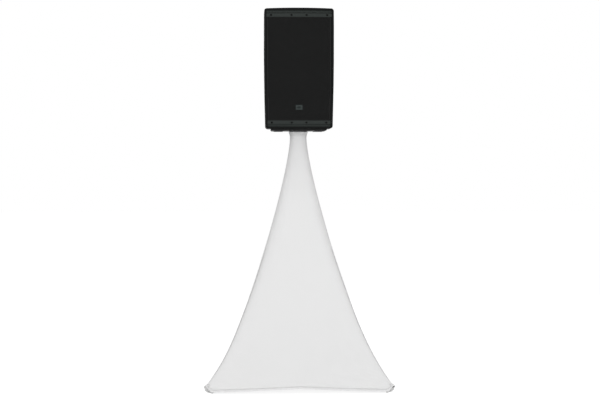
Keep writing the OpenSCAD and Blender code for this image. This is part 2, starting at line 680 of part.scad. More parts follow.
// ---- stand -----------------------------------------------------------------------------
tube_r = tube_d / 2;
tube_bore_r = tube_r - tube_wall;
mast_r = mast_d / 2;
leg_r = leg_d / 2;
leg_angles = [90, 210, 330];
leg_lean = atan((leg_reach - pivot_r) / leg_pivot_z);
leg_len = leg_pivot_z / cos(leg_lean);
collar_z = leg_pivot_z - 2 * brace_len * cos(leg_lean);
pin_r = 4;
cheek_in = leg_r + 0.7;
cheek_t = 4.3;
bar_in = leg_r + 2;     // inner face of a brace bar, from the leg's middle plane
bar_t = 3;
mast_len_in_socket = 75;
clamp_top = tube_top + 25;
clamp_z = tube_top + 12;
hub_half_h = 25;
hub_r = tube_r + 9.5;
collar_half_h = 22;

module tube(r_out, r_in, z0, z1) {
    translate([0, 0, z0]) difference() {
        cylinder(h = z1 - z0, r = r_out, $fn = 64);
        translate([0, 0, -1]) cylinder(h = z1 - z0 + 2, r = r_in, $fn = 64);
    }
}
module around() { for (a = leg_angles) rotate([0, 0, a]) children(); }
// Puts children on a leg: +X runs down the leg from its pivot, Y is across it.
module on_leg() { translate([pivot_r, 0, leg_pivot_z]) rotate([0, 90 - leg_lean, 0]) children(); }

module outer_tube() { color([0.08, 0.08, 0.08]) tube(tube_r, tube_bore_r, tube_foot, tube_top); }
module tube_cap() {
    color([0.04, 0.04, 0.04]) {
        translate([0, 0, tube_foot - 6]) cylinder(h = 6 - fit, r = tube_r, $fn = 64);
        translate([0, 0, tube_foot - 1]) cylinder(h = 20, r = tube_bore_r - fit, $fn = 64);
    }
}
module cheeks(inner, thick, z0, z1, r_far) {
    for (s = [-1, 1]) translate([tube_r + 4, s > 0 ? inner : -inner - thick, z0])
        cube([r_far - tube_r - 4, thick, z1 - z0]);
}
module leg_hub() {
    color([0.1, 0.1, 0.1]) difference() {
        union() {
            translate([0, 0, leg_pivot_z - hub_half_h]) cylinder(h = 2 * hub_half_h, r = hub_r, $fn = 64);
            around() cheeks(cheek_in, cheek_t, leg_pivot_z - 18, leg_pivot_z + 18, pivot_r + 13);
        }
        translate([0, 0, leg_pivot_z - hub_half_h - 1])
            cylinder(h = 2 * hub_half_h + 2, r = tube_r + fit, $fn = 64);
        around() translate([pivot_r, 0, leg_pivot_z]) rotate([90, 0, 0])
            cylinder(h = 60, r = pin_r + fit, center = true, $fn = 32);
        around() translate([pivot_r, 0, leg_pivot_z]) sphere(leg_r + 0.8, $fn = 48);
    }
}
// A rivet across a leg, headed outside the plates at half_span.
module rivet(half_span) {
    rotate([90, 0, 0]) cylinder(h = 2 * half_span + 4, r = pin_r, center = true, $fn = 32);
    for (s = [-1, 1]) translate([0, s * (half_span + fit + 1.25), 0]) rotate([90, 0, 0])
        cylinder(h = 2.5, r = 7, center = true, $fn = 32);
}
module hub_pins() {
    color([0.7, 0.7, 0.72]) around() translate([pivot_r, 0, leg_pivot_z]) rivet(cheek_in + cheek_t);
}
module mast_clamp() {
    color([0.07, 0.07, 0.07]) difference() {
        union() {
            translate([0, 0, tube_top - 32]) cylinder(h = clamp_top - tube_top + 32, r = tube_r + 8, $fn = 64);
            translate([0, tube_r + 4, clamp_z]) rotate([-90, 0, 0]) cylinder(h = 16, r = 12, $fn = 48);
        }
        translate([0, 0, tube_top - 33]) cylinder(h = 33, r = tube_r + fit, $fn = 64);
        translate([0, 0, tube_top - 1]) cylinder(h = 60, r = mast_r + running, $fn = 64);
        translate([0, mast_r, clamp_z]) rotate([-90, 0, 0]) cylinder(h = 60, r = pin_r + running, $fn = 32);
    }
}
// A wing knob on a threaded stud; its stud points along -Z.
module wing_knob(stud) {
    translate([0, 0, -stud]) cylinder(h = stud + 2, r = pin_r, $fn = 32);
    cylinder(h = 12, r = 11, $fn = 40);
    for (s = [-1, 1]) translate([s * 15, 0, 6]) {
        translate([-12 * s - 6, -3.5, -4]) cube([24, 7, 12]);
        translate([0, 3.5, 3.5]) rotate([90, 0, 0]) cylinder(h = 7, r = 9, $fn = 40);
    }
}
module mast_clamp_knob() {
    seat = tube_r + 20 + running;
    color([0.04, 0.04, 0.04]) translate([0, seat, clamp_z]) rotate([-90, 0, 0])
        wing_knob(seat - mast_r - running);
}
module mast_tube() {
    color([0.09, 0.09, 0.09]) difference() {
        tube(mast_r, mast_r - 2, mast_foot, speaker_z + mast_len_in_socket);
    }
}
module load_flange() {
    color([0.06, 0.06, 0.06]) difference() {
        union() {
            translate([0, 0, speaker_z - flange_t_load])
                cylinder(h = flange_t_load, r = flange_r, $fn = 80);
            translate([0, 0, speaker_z - 48]) cylinder(h = 41, r = mast_r + 7, $fn = 64);
        }
        translate([0, 0, speaker_z - 49]) cylinder(h = 50, r = mast_r + fit, $fn = 64);
    }
}
module brace_collar() {
    color([0.1, 0.1, 0.1]) difference() {
        union() {
            translate([0, 0, collar_z - collar_half_h])
                cylinder(h = 2 * collar_half_h, r = tube_r + 9, $fn = 64);
            around() cheeks(bar_in - 4.5, 4, collar_z - 15, collar_z + 15, pivot_r + 9);
            rotate([0, 0, 30]) translate([tube_r + 4, 0, collar_z]) rotate([0, 90, 0])
                cylinder(h = 16, r = 11, $fn = 48);
        }
        translate([0, 0, collar_z - collar_half_h - 1])
            cylinder(h = 2 * collar_half_h + 2, r = tube_r + running, $fn = 64);
        rotate([0, 0, 30]) translate([tube_r - 1, 0, collar_z]) rotate([0, 90, 0])
            cylinder(h = 60, r = pin_r + running, $fn = 32);
        around() translate([pivot_r, 0, collar_z]) rotate([90, 0, 0])
            cylinder(h = 60, r = pin_r, center = true, $fn = 32);
    }
}
module collar_knob() {
    seat = tube_r + 20 + running;
    color([0.04, 0.04, 0.04]) rotate([0, 0, 30]) translate([seat, 0, collar_z]) rotate([0, 90, 0])
        wing_knob(seat - tube_r - 2 * running);
}
boot_r = leg_r + 2;
bell_dip = 1.5;     // how much of the bell's lowest edge is worn flat on the floor
bell_z = bell_r * sin(leg_lean) - bell_dip;
bell_end = (leg_pivot_z - bell_z) / cos(leg_lean);
bell_x = pivot_r + bell_end * sin(leg_lean);
bell_len = 26;
boot_top = bell_end - 80;
tube_end = bell_end - 8;
module leg() {
    color([0.09, 0.09, 0.09]) on_leg() difference() {
        union() {
            sphere(leg_r, $fn = 48);
            rotate([0, 90, 0]) cylinder(h = tube_end, r = leg_r, $fn = 48);
        }
        translate([22, 0, 0]) rotate([0, 90, 0]) cylinder(h = leg_len, r = leg_r - 1.5, $fn = 48);
        for (s = [0, brace_len]) translate([s, 0, 0]) rotate([90, 0, 0])
            cylinder(h = 60, r = pin_r + 0.08, center = true, $fn = 32);
    }
}
module foot() {
    color([0.03, 0.03, 0.03]) difference() {
        union() {
            on_leg() translate([boot_top, 0, 0]) rotate([0, 90, 0])
                cylinder(h = 80 - bell_len + 1, r = boot_r, $fn = 48);
            on_leg() translate([bell_end - bell_len, 0, 0]) rotate([0, 90, 0])
                cylinder(h = bell_len - 8, r1 = boot_r, r2 = bell_r, $fn = 48);
            on_leg() translate([bell_end - 8, 0, 0]) rotate([0, 90, 0])
                cylinder(h = 8, r = bell_r, $fn = 48);
        }
        on_leg() translate([boot_top - 1, 0, 0]) rotate([0, 90, 0])
            cylinder(h = tube_end - boot_top + 1 + fit, r = leg_r + fit, $fn = 48);
        translate([leg_reach - 100, -50, -80]) cube([200, 100, 80]);
    }
}
module brace() {
    foot_end = [pivot_r, 0, collar_z];
    color([0.09, 0.09, 0.09]) {
        translate(foot_end) rotate([0, leg_lean, 0]) for (s = [-1, 1])
            translate([0, s * (bar_in + bar_t / 2), 0]) rotate([90, 0, 0]) difference() {
                union() {
                    translate([-9, 0, -bar_t / 2]) cube([18, brace_len, bar_t]);
                    for (z = [0, brace_len]) translate([0, z, 0])
                        cylinder(h = bar_t, r = 9, center = true, $fn = 32);
                    translate([0, 0, -s * (bar_t / 2 + 0.9)]) cylinder(h = 2, r = 6, center = true, $fn = 32);
                }
                translate([0, brace_len, 0]) cylinder(h = 20, r = pin_r + fit, center = true, $fn = 32);
            }
        on_leg() translate([brace_len, 0, 0]) rivet(bar_in + bar_t);
    }
}
module leg_1() { rotate([0, 0, leg_angles[0]]) leg(); }
module leg_2() { rotate([0, 0, leg_angles[1]]) leg(); }
module leg_3() { rotate([0, 0, leg_angles[2]]) leg(); }
module foot_1() { rotate([0, 0, leg_angles[0]]) foot(); }
module foot_2() { rotate([0, 0, leg_angles[1]]) foot(); }
module foot_3() { rotate([0, 0, leg_angles[2]]) foot(); }
module brace_1() { rotate([0, 0, leg_angles[0]]) brace(); }
module brace_2() { rotate([0, 0, leg_angles[1]]) brace(); }
module brace_3() { rotate([0, 0, leg_angles[2]]) brace(); }

// ---- cover -----------------------------------------------------------------------------
cover_top = speaker_z - 5;
neck_z = speaker_z - 38;        // where the neck is narrowest
neck_flare = 9.5;              // how far the neck opens again under the speaker
spread = leg_reach - 97;        // how much wider the ridges are at the floor than at the neck
flare = 96;                     // extra width that the sleeves add at the very foot
// 0 at the neck and 1 on the floor
function drop(z) = max(0, (neck_z - z) / neck_z);
// Distance of the three ridges from the pole's axis
function ridge_r(z) = neck_r + (z > neck_z ? neck_flare * pow((z - neck_z) / 38, 2)
    : spread * pow(drop(z), 1.33) + flare * pow(drop(z), 9));
// Ratio of ridge distance to panel distance: 1 is a circle, 2 a triangle
function pull(z) = 1 + 0.95 * pow(drop(z), 0.75);
flange_t_load = 8;
flange_r = ridge_r(speaker_z - flange_t_load) - cloth_t - running;
// Polar radius of the pocket that each leg's bell fills, seen a degrees from its ridge
function pocket_r(a, z) = let(
    t = min(1, max(0, (z - 2 * bell_z - 2) / 36)),
    fade = t * t * (3 - 2 * t),
    c = bell_x - 60 * fade,
    rho = bell_r + cloth_t + 0.8 - 12 * fade,
    h = c * sin(a)
) h < rho && t < 1 ? c * cos(a) + sqrt(rho * rho - h * h) : 0;
// Polar radius of a level section; side is the angle from the middle of the nearest panel
function cover_r(side, z) = let(
    k = max(pull(z), sqrt(2)),
    p = 1 / (1 - ln(k) / ln(2)),
    s = abs(side),
    sum = pow(cos(s), p) + (s > 30 ? pow(cos(120 - s), p) : 0),
    tri = ridge_r(z) / k / pow(sum, 1 / p),
    m = min(1, (pull(z) - 1) / (sqrt(2) - 1))
) max((1 - m) * ridge_r(z) + m * tri, pocket_r(60 - s, z));
// Height of the hem; ridge is the angle from the nearest ridge
function hem_z(ridge) = 8 + 18 * pow(ridge / 60, 0.8) + 29 * exp(-pow(ridge / 2.6, 4));
half_steps = [0, 1.4, 2.5, 4, 7, 12, 18, 26, 36, 48];
sector = concat(half_steps, [for (i = [10:-1:1]) 120 - (i == 10 ? 60 : half_steps[i])]);
levels = [0, 0.02, 0.045, 0.08, 0.14, 0.22, 0.31, 0.41, 0.51, 0.61, 0.7, 0.78, 0.85, 0.9, 0.935, 0.957, 0.972, 0.986, 1];
module cover() {
    columns = [for (a = leg_angles) for (s = sector) [a + s, min(s, 120 - s)]];
    n = len(columns);
    rows = len(levels);
    function place(i, j, inset) = let(
        c = columns[j],
        z = cover_top + (hem_z(c[1]) - cover_top) * levels[i],
        r = cover_r(60 - c[1], z) - inset
    ) [r * cos(c[0]), r * sin(c[0]), z];
    pts = concat(
        [for (i = [0:rows - 1]) for (j = [0:n - 1]) place(i, j, 0)],
        [for (i = [0:rows - 1]) for (j = [0:n - 1]) place(i, j, cloth_t)]
    );
    in0 = rows * n;
    faces = concat(
        [for (i = [0:rows - 2]) for (j = [0:n - 1]) let(k = (j + 1) % n)
            for (f = [[i * n + j, i * n + k, (i + 1) * n + j], [i * n + k, (i + 1) * n + k, (i + 1) * n + j]]) f],
        [for (i = [0:rows - 2]) for (j = [0:n - 1]) let(k = (j + 1) % n)
            for (f = [[i * n + j, (i + 1) * n + j, i * n + k], [i * n + k, (i + 1) * n + j, (i + 1) * n + k]])
                [for (v = f) v + in0]],
        [for (j = [0:n - 1]) let(k = (j + 1) % n) for (f = [[j, in0 + j, k], [k, in0 + j, in0 + k]]) f],
        [for (j = [0:n - 1]) let(k = (j + 1) % n, b = (rows - 1) * n)
            for (f = [[b + j, b + k, in0 + b + j], [b + k, in0 + b + k, in0 + b + j]]) f]
    );
    color([0.9, 0.9, 0.9]) polyhedron(pts, faces);
}

cabinet_front();
cabinet_rear();
grille();
grille_foam();
trim_bar_top();
trim_bar_bottom();
grille_screws();
badge();
woofer_basket();
woofer_magnet();
woofer_cone();
woofer_surround();
dust_cap();
voice_coil();
spider();
woofer_screws();
horn();
horn_screws();
compression_driver();
port_tubes();
amp_panel();
heat_sink();
amp_board();
power_supply();
amp_screws();
xlr_sockets();
power_inlet();
status_leds();
handle_cups();
pole_socket();
plinth();
plinth_pads();
rigging_inserts();
gain_knob_a();
gain_knob_b();
main_knob();
power_rocker();
line_button_a();
line_button_b();
eq_button();
outer_tube();
leg_hub();
hub_pins();
tube_cap();
mast_clamp();
mast_clamp_knob();
mast_tube();
load_flange();
brace_collar();
collar_knob();
leg_1();
leg_2();
leg_3();
foot_1();
foot_2();
foot_3();
brace_1();
brace_2();
brace_3();
cover();
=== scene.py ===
"""Finishes, grille, cloth, studio and camera for a covered loudspeaker stand.

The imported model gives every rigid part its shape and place. This script gives those parts their
finishes, makes the perforated grille and the stretch cover in full detail, and lights the result.
Everything is in metres: +Z is up, the grille faces -Y, and the origin is on the floor under the
pole.
"""

from __future__ import annotations

import logging
import math
from dataclasses import dataclass, field
from enum import Enum
from typing import Any, Iterable, Sequence

import bmesh
import bpy
import numpy as np
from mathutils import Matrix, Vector
from mathutils.geometry import delaunay_2d_cdt

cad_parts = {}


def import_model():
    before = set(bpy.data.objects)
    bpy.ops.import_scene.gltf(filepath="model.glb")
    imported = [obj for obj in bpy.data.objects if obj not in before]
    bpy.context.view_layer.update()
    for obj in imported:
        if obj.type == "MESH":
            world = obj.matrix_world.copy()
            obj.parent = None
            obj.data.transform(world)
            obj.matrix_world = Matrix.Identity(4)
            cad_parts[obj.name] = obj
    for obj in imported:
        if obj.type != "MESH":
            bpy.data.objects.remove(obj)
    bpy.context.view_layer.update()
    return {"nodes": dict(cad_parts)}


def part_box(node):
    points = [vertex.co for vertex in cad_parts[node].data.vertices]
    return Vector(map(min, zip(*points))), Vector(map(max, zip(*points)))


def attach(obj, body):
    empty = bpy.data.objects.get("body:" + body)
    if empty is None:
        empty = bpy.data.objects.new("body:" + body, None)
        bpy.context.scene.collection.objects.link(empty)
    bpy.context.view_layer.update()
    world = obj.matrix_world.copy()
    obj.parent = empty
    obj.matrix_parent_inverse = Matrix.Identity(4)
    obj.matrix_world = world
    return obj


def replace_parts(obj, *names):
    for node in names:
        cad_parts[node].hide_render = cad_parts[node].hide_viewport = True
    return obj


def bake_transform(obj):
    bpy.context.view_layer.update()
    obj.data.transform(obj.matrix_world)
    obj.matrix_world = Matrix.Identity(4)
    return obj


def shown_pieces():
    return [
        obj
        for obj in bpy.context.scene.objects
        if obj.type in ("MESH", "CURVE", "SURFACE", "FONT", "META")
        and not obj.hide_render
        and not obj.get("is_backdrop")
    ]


LOG = logging.getLogger("speaker")
Colour = tuple[float, float, float]


# ---- shader maths ------------------------------------------------------------------------


class Flow:
    """A value on its way through a node tree; arithmetic on it adds Math nodes."""

    def __init__(self, net: Net, socket: bpy.types.NodeSocket) -> None:
        """Keeps the tree and the output socket that carries the value."""
        self.net = net
        self.socket = socket

    def __add__(self, other: Flow | float) -> Flow:
        """This value plus another."""
        return self.net.math("ADD", self, other)

    __radd__ = __add__

    def __sub__(self, other: Flow | float) -> Flow:
        """This value less another."""
        return self.net.math("SUBTRACT", self, other)

    def __rsub__(self, other: float) -> Flow:
        """A number less this value."""
        return self.net.math("SUBTRACT", other, self)

    def __mul__(self, other: Flow | float) -> Flow:
        """This value times another."""
        return self.net.math("MULTIPLY", self, other)

    __rmul__ = __mul__

    def __truediv__(self, other: Flow | float) -> Flow:
        """This value divided by another."""
        return self.net.math("DIVIDE", self, other)

    def sine(self) -> Flow:
        """The sine of this value, in radians."""
        return self.net.math("SINE", self, 0.0)

    def size(self) -> Flow:
        """This value without its sign."""
        return self.net.math("ABSOLUTE", self, 0.0)

    def step(self, low: float, high: float) -> Flow:
        """0 below low and 1 above high, eased between them."""
        return self.net.add(
            "ShaderNodeMapRange",
            {"interpolation_type": "SMOOTHSTEP"},
            {"Value": self, "From Min": low, "From Max": high},
        )


class Net:
    """The node tree of one material, or of the world."""

    def __init__(self, name: str, world: bool = False) -> None:
        """Makes an empty node material, or world, with an output node."""
        self.material = (bpy.data.worlds if world else bpy.data.materials).new(name)
        self.material.use_nodes = True
        self.tree = self.material.node_tree
        self.tree.nodes.clear()
        kind = "ShaderNodeOutputWorld" if world else "ShaderNodeOutputMaterial"
        self.output = self.tree.nodes.new(kind)

    def add(
        self,
        kind: str,
        settings: dict[str, Any] | None = None,
        inputs: dict[str | int, Any] | None = None,
        out: str | int = 0,
    ) -> Flow:
        """Adds a node.

        Args:
            kind: the node's type.
            settings: attributes to set first; "stops" fills a colour ramp.
            inputs: socket name or number to a value, a Flow or a socket.
            out: the output that is returned.

        Returns:
            The chosen output as a Flow.
        """
        node = self.tree.nodes.new(kind)
        for key, value in (settings or {}).items():
            if key == "stops":
                elements = node.color_ramp.elements
                while len(elements) < len(value):
                    elements.new(0.5)
                for element, (position, colour) in zip(elements, value):
                    element.position = position
                    element.color = (*colour, 1.0)
            else:
                setattr(node, key, value)
        for key, value in (inputs or {}).items():
            self.feed(node.inputs[key], value)
        return Flow(self, node.outputs[out])

    def feed(self, socket: bpy.types.NodeSocket, value: Any) -> None:
        """Links a Flow to a socket, or sets the socket's own value."""
        if isinstance(value, Flow):
            self.tree.links.new(value.socket, socket)
        elif socket.type == "RGBA":
            socket.default_value = (*value[:3], 1.0)
        else:
            socket.default_value = value

    def math(self, operation: str, a: Flow | float, b: Flow | float) -> Flow:
        """Adds one Math node for a and b."""
        return self.add("ShaderNodeMath", {"operation": operation}, {0: a, 1: b})

    def blend(self, share: Flow | float, a: Any, b: Any) -> Flow:
        """Mixes colour a into colour b by share."""
        return self.add(
            "ShaderNodeMix", {"data_type": "RGBA"}, {0: share, 6: a, 7: b}, out=2
        )

    def place(self) -> Flow:
        """The point's place in its own piece, in metres."""
        return self.add("ShaderNodeTexCoord", out="Object")

    def noise(self, scale: float, detail: float = 2.0, rough: float = 0.5) -> Flow:
        """Cloudy noise with about scale lumps to the metre."""
        return self.add(
            "ShaderNodeTexNoise",
            None,
            {"Vector": self.place(), "Scale": scale, "Detail": detail, "Roughness": rough},
        )

    def cells(self, scale: float, feature: str = "F1") -> Flow:
        """Distance to the nearest of about scale points to the metre."""
        return self.add(
            "ShaderNodeTexVoronoi",
            {"feature": feature},
            {"Vector": self.place(), "Scale": scale},
        )

    def seen(self) -> Flow:
        """1 for the camera and for mirrored or refracted sight, 0 for light on its way."""
        camera, glossy, through = (
            self.add("ShaderNodeLightPath", out=f"Is {kind} Ray")
            for kind in ("Camera", "Glossy", "Transmission")
        )
        return self.math("MAXIMUM", self.math("MAXIMUM", camera, glossy), through)

    def bump(self, height: Flow, depth: float, strength: float = 1.0) -> Flow:
        """A normal from a height of 0 to 1 that stands for depth metres."""
        return self.add(
            "ShaderNodeBump", None, {"Height": height, "Distance": depth, "Strength": strength}
        )

    def surface(self, **inputs: Any) -> bpy.types.Material:
        """Ends the tree in a Principled BSDF; underscores in names stand for spaces."""
        shader = self.add(
            "ShaderNodeBsdfPrincipled",
            None,
            {key.replace("_", " "): value for key, value in inputs.items()},
        )
        self.feed(self.output.inputs["Surface"], shader)
        return self.material


# ---- finishes ----------------------------------------------------------------------------


@dataclass(frozen=True)
class Finish:
    """A finish by name and colour; each kind below adds how it is made."""

    name: str
    colour: Colour

    def shades(self, net: Net, share: Flow, spread: float) -> Flow:
        """The colour, drifting from darker to lighter by spread as share goes from 0 to 1."""
        low = tuple(c * (1.0 - spread) for c in self.colour)
        high = tuple(min(1.0, c * (1.0 + spread)) for c in self.colour)
        return net.blend(share, low, high)

    def material(self) -> bpy.types.Material:
        """The finish as a Blender material."""
        raise NotImplementedError


@dataclass(frozen=True)
class Moulding(Finish):
    """Moulded plastic with a spark-eroded grain and faint handling marks."""

    roughness: float = 0.5
    grain: float = 1100.0
    depth: float = 0.00006
    gloss: float = 0.3

    def material(self) -> bpy.types.Material:
        """Pebbled grain, with rubbed patches that are a little smoother."""
        net = Net(self.name)
        grain = net.noise(self.grain, 3.0, 0.6)
        rubbed = net.noise(9.0, 4.0, 0.6).step(0.45, 0.7)
        marks = net.noise(60.0, 6.0, 0.75).step(0.58, 0.75)
        return net.surface(
            Base_Color=self.shades(net, grain * 0.6 + marks * 0.4, 0.14),
            Roughness=grain * 0.1 - rubbed * 0.06 + marks * 0.05 + self.roughness,
            Specular_IOR_Level=self.gloss,
            Normal=net.bump(grain + marks * 0.1, self.depth),
        )


@dataclass(frozen=True)
class PowderCoat(Finish):
    """Baked powder paint on metal, with its fine orange peel."""

    roughness: float = 0.45
    peel: float = 620.0
    gloss: float = 0.3

    def material(self) -> bpy.types.Material:
        """Soft lumps with specks and a slow drift of gloss."""
        net = Net(self.name)
        peel = net.noise(self.peel, 2.0, 0.5)
        speck = net.cells(1400.0).step(0.05, 0.4)
        drift = net.noise(7.0, 3.0)
        return net.surface(
            Base_Color=self.shades(net, speck * 0.5 + drift * 0.5, 0.12),
            Roughness=peel * 0.12 + drift * 0.08 + (self.roughness - 0.1),
            Specular_IOR_Level=self.gloss,
            Normal=net.bump(peel + speck * 0.25, 0.00005),
        )


@dataclass(frozen=True)
class PlatedMetal(Finish):
    """Plated or bare turned metal."""

    roughness: float = 0.28
    bright: float = 1.0
    gloss: float = 0.3

    def material(self) -> bpy.types.Material:
        """Fine turning lines, dulled here and there."""
        net = Net(self.name)
        lines = net.noise(2200.0, 2.0, 0.7)
        dull = net.noise(35.0, 5.0, 0.7).step(0.5, 0.72)
        return net.surface(
            Base_Color=self.shades(net, 1.0 - dull * 0.8, 0.18),
            Metallic=self.bright,
            Roughness=lines * 0.1 + dull * 0.22 + self.roughness,
            Specular_IOR_Level=self.gloss,
            Normal=net.bump(lines, 0.00001),
        )


@dataclass(frozen=True)
class CastRubber(Finish):
    """Matt rubber with a bloom of dust."""

    roughness: float = 0.82

    def material(self) -> bpy.types.Material:
        """Fine pits and a dusty bloom."""
        net = Net(self.name)
        pits = net.cells(1500.0)
        bloom = net.noise(25.0, 5.0, 0.65).step(0.45, 0.8)
        dusty = tuple(min(1.0, c + 0.035) for c in self.colour)
        return net.surface(
            Base_Color=net.blend(bloom * 0.5, self.colour, dusty),
            Roughness=pits * 0.08 + (self.roughness - 0.04),
            Specular_IOR_Level=0.3,
            Normal=net.bump(pits, 0.00006),
        )


@dataclass(frozen=True)
class OpenFoam(Finish):
    """Open-cell foam behind a grille."""

    def material(self) -> bpy.types.Material:
        """Deep cells of about a millimetre."""
        net = Net(self.name)
        cells = net.cells(1000.0)
        return net.surface(
            Base_Color=self.shades(net, cells, 0.6),
            Roughness=0.95,
            Specular_IOR_Level=0.1,
            Normal=net.bump(1.0 - cells, 0.0006),
        )


@dataclass(frozen=True)
class PressedPaper(Finish):
    """Fibrous pressed paper or treated cloth of a loudspeaker driver."""

    depth: float = 0.00012

    def material(self) -> bpy.types.Material:
        """Matted fibres in two sizes."""
        net = Net(self.name)
        fibres = net.noise(700.0, 6.0, 0.8)
        clumps = net.noise(120.0, 3.0, 0.6)
        return net.surface(
            Base_Color=self.shades(net, fibres * 0.7 + clumps * 0.3, 0.3),
            Roughness=fibres * 0.15 + 0.72,
            Specular_IOR_Level=0.25,
            Normal=net.bump(fibres + clumps * 0.4, self.depth),
        )


@dataclass(frozen=True)
class CircuitBoard(Finish):
    """Solder-masked board with tracks and tinned pads."""

    def material(self) -> bpy.types.Material:
        """Blocky tracks under the mask, and a few bright pads."""
        net = Net(self.name)
        tracks = net.cells(140.0, "DISTANCE_TO_EDGE").step(0.02, 0.05)
        pads = 1.0 - net.cells(260.0).step(0.1, 0.16)
        mask = self.shades(net, tracks, 0.35)
        return net.surface(
            Base_Color=net.blend(pads, mask, (0.6, 0.58, 0.52)),
            Metallic=pads * 0.9,
            Roughness=0.4 - pads * 0.1,
            Normal=net.bump(1.0 - tracks, 0.00008),
        )


@dataclass(frozen=True)
class WoundWire(Finish):
    """Lacquered wire wound side by side."""

    def material(self) -> bpy.types.Material:
        """Ridges of fine wire under lacquer."""
        net = Net(self.name)
        turns = net.noise(1600.0, 1.0)
        drift = net.noise(90.0, 3.0)
        return net.surface(
            Base_Color=self.shades(net, turns * 0.6 + drift * 0.4, 0.3),
            Metallic=0.75,
            Roughness=turns * 0.15 + 0.28,
            Coat_Weight=0.4,
            Normal=net.bump(turns, 0.0001),
        )


@dataclass(frozen=True)
class Lens(Finish):
    """A clear tinted indicator lens."""

    def material(self) -> bpy.types.Material:
        """Smooth plastic with moulding swirls."""
        net = Net(self.name)
        swirl = net.noise(500.0, 2.0)
        return net.surface(
            Base_Color=self.shades(net, swirl, 0.2),
            Roughness=swirl * 0.06 + 0.08,
            Transmission_Weight=0.35,
            Coat_Weight=0.6,
        )


@dataclass(frozen=True)
class StretchKnit(Finish):
    """Stretched two-way knit: rows of tiny loops, slightly uneven, laid along the cloth."""

    wale: float = 0.00125
    course: float = 0.00105

    def material(self) -> bpy.types.Material:
        """Loops from two crossed waves in the cloth's own lengthwise and crosswise measure."""
        net = Net(self.name)
        layout = net.add("ShaderNodeUVMap", {"uv_map": "cloth"})
        across = net.add("ShaderNodeSeparateXYZ", None, {0: layout}, "X")
        along = net.add("ShaderNodeSeparateXYZ", None, {0: layout}, "Y")
        wander = net.noise(45.0, 3.0, 0.6)
        wales = (across * (math.pi / self.wale) + wander * 1.2).sine().size()
        loops = (along * (math.tau / self.course) + wales * 1.6).sine() * 0.5 + 0.5
        knit = wales * 0.6 + loops * 0.4
        soil = net.noise(3.0, 5.0, 0.6).step(0.35, 0.8)
        pills = net.cells(190.0).step(0.0, 0.12)
        return net.surface(
            Base_Color=self.shades(net, knit * 0.35 + pills * 0.15 + (1.0 - soil) * 0.5, 0.012),
            Roughness=0.86 - wales * 0.08,
            Specular_IOR_Level=0.22,
            Sheen_Weight=0.12,
            Sheen_Roughness=0.5,
            Normal=net.bump(knit + wander * 0.3, 0.00016, 0.6),
        )


@dataclass(frozen=True)
class Thread(Finish):
    """Twisted sewing thread."""

    def material(self) -> bpy.types.Material:
        """Fine twist and a slightly duller colour than the cloth."""
        net = Net(self.name)
        twist = net.noise(2600.0, 2.0)
        return net.surface(
            Base_Color=self.shades(net, twist, 0.05),
            Roughness=twist * 0.1 + 0.6,
            Normal=net.bump(twist, 0.0001),
        )


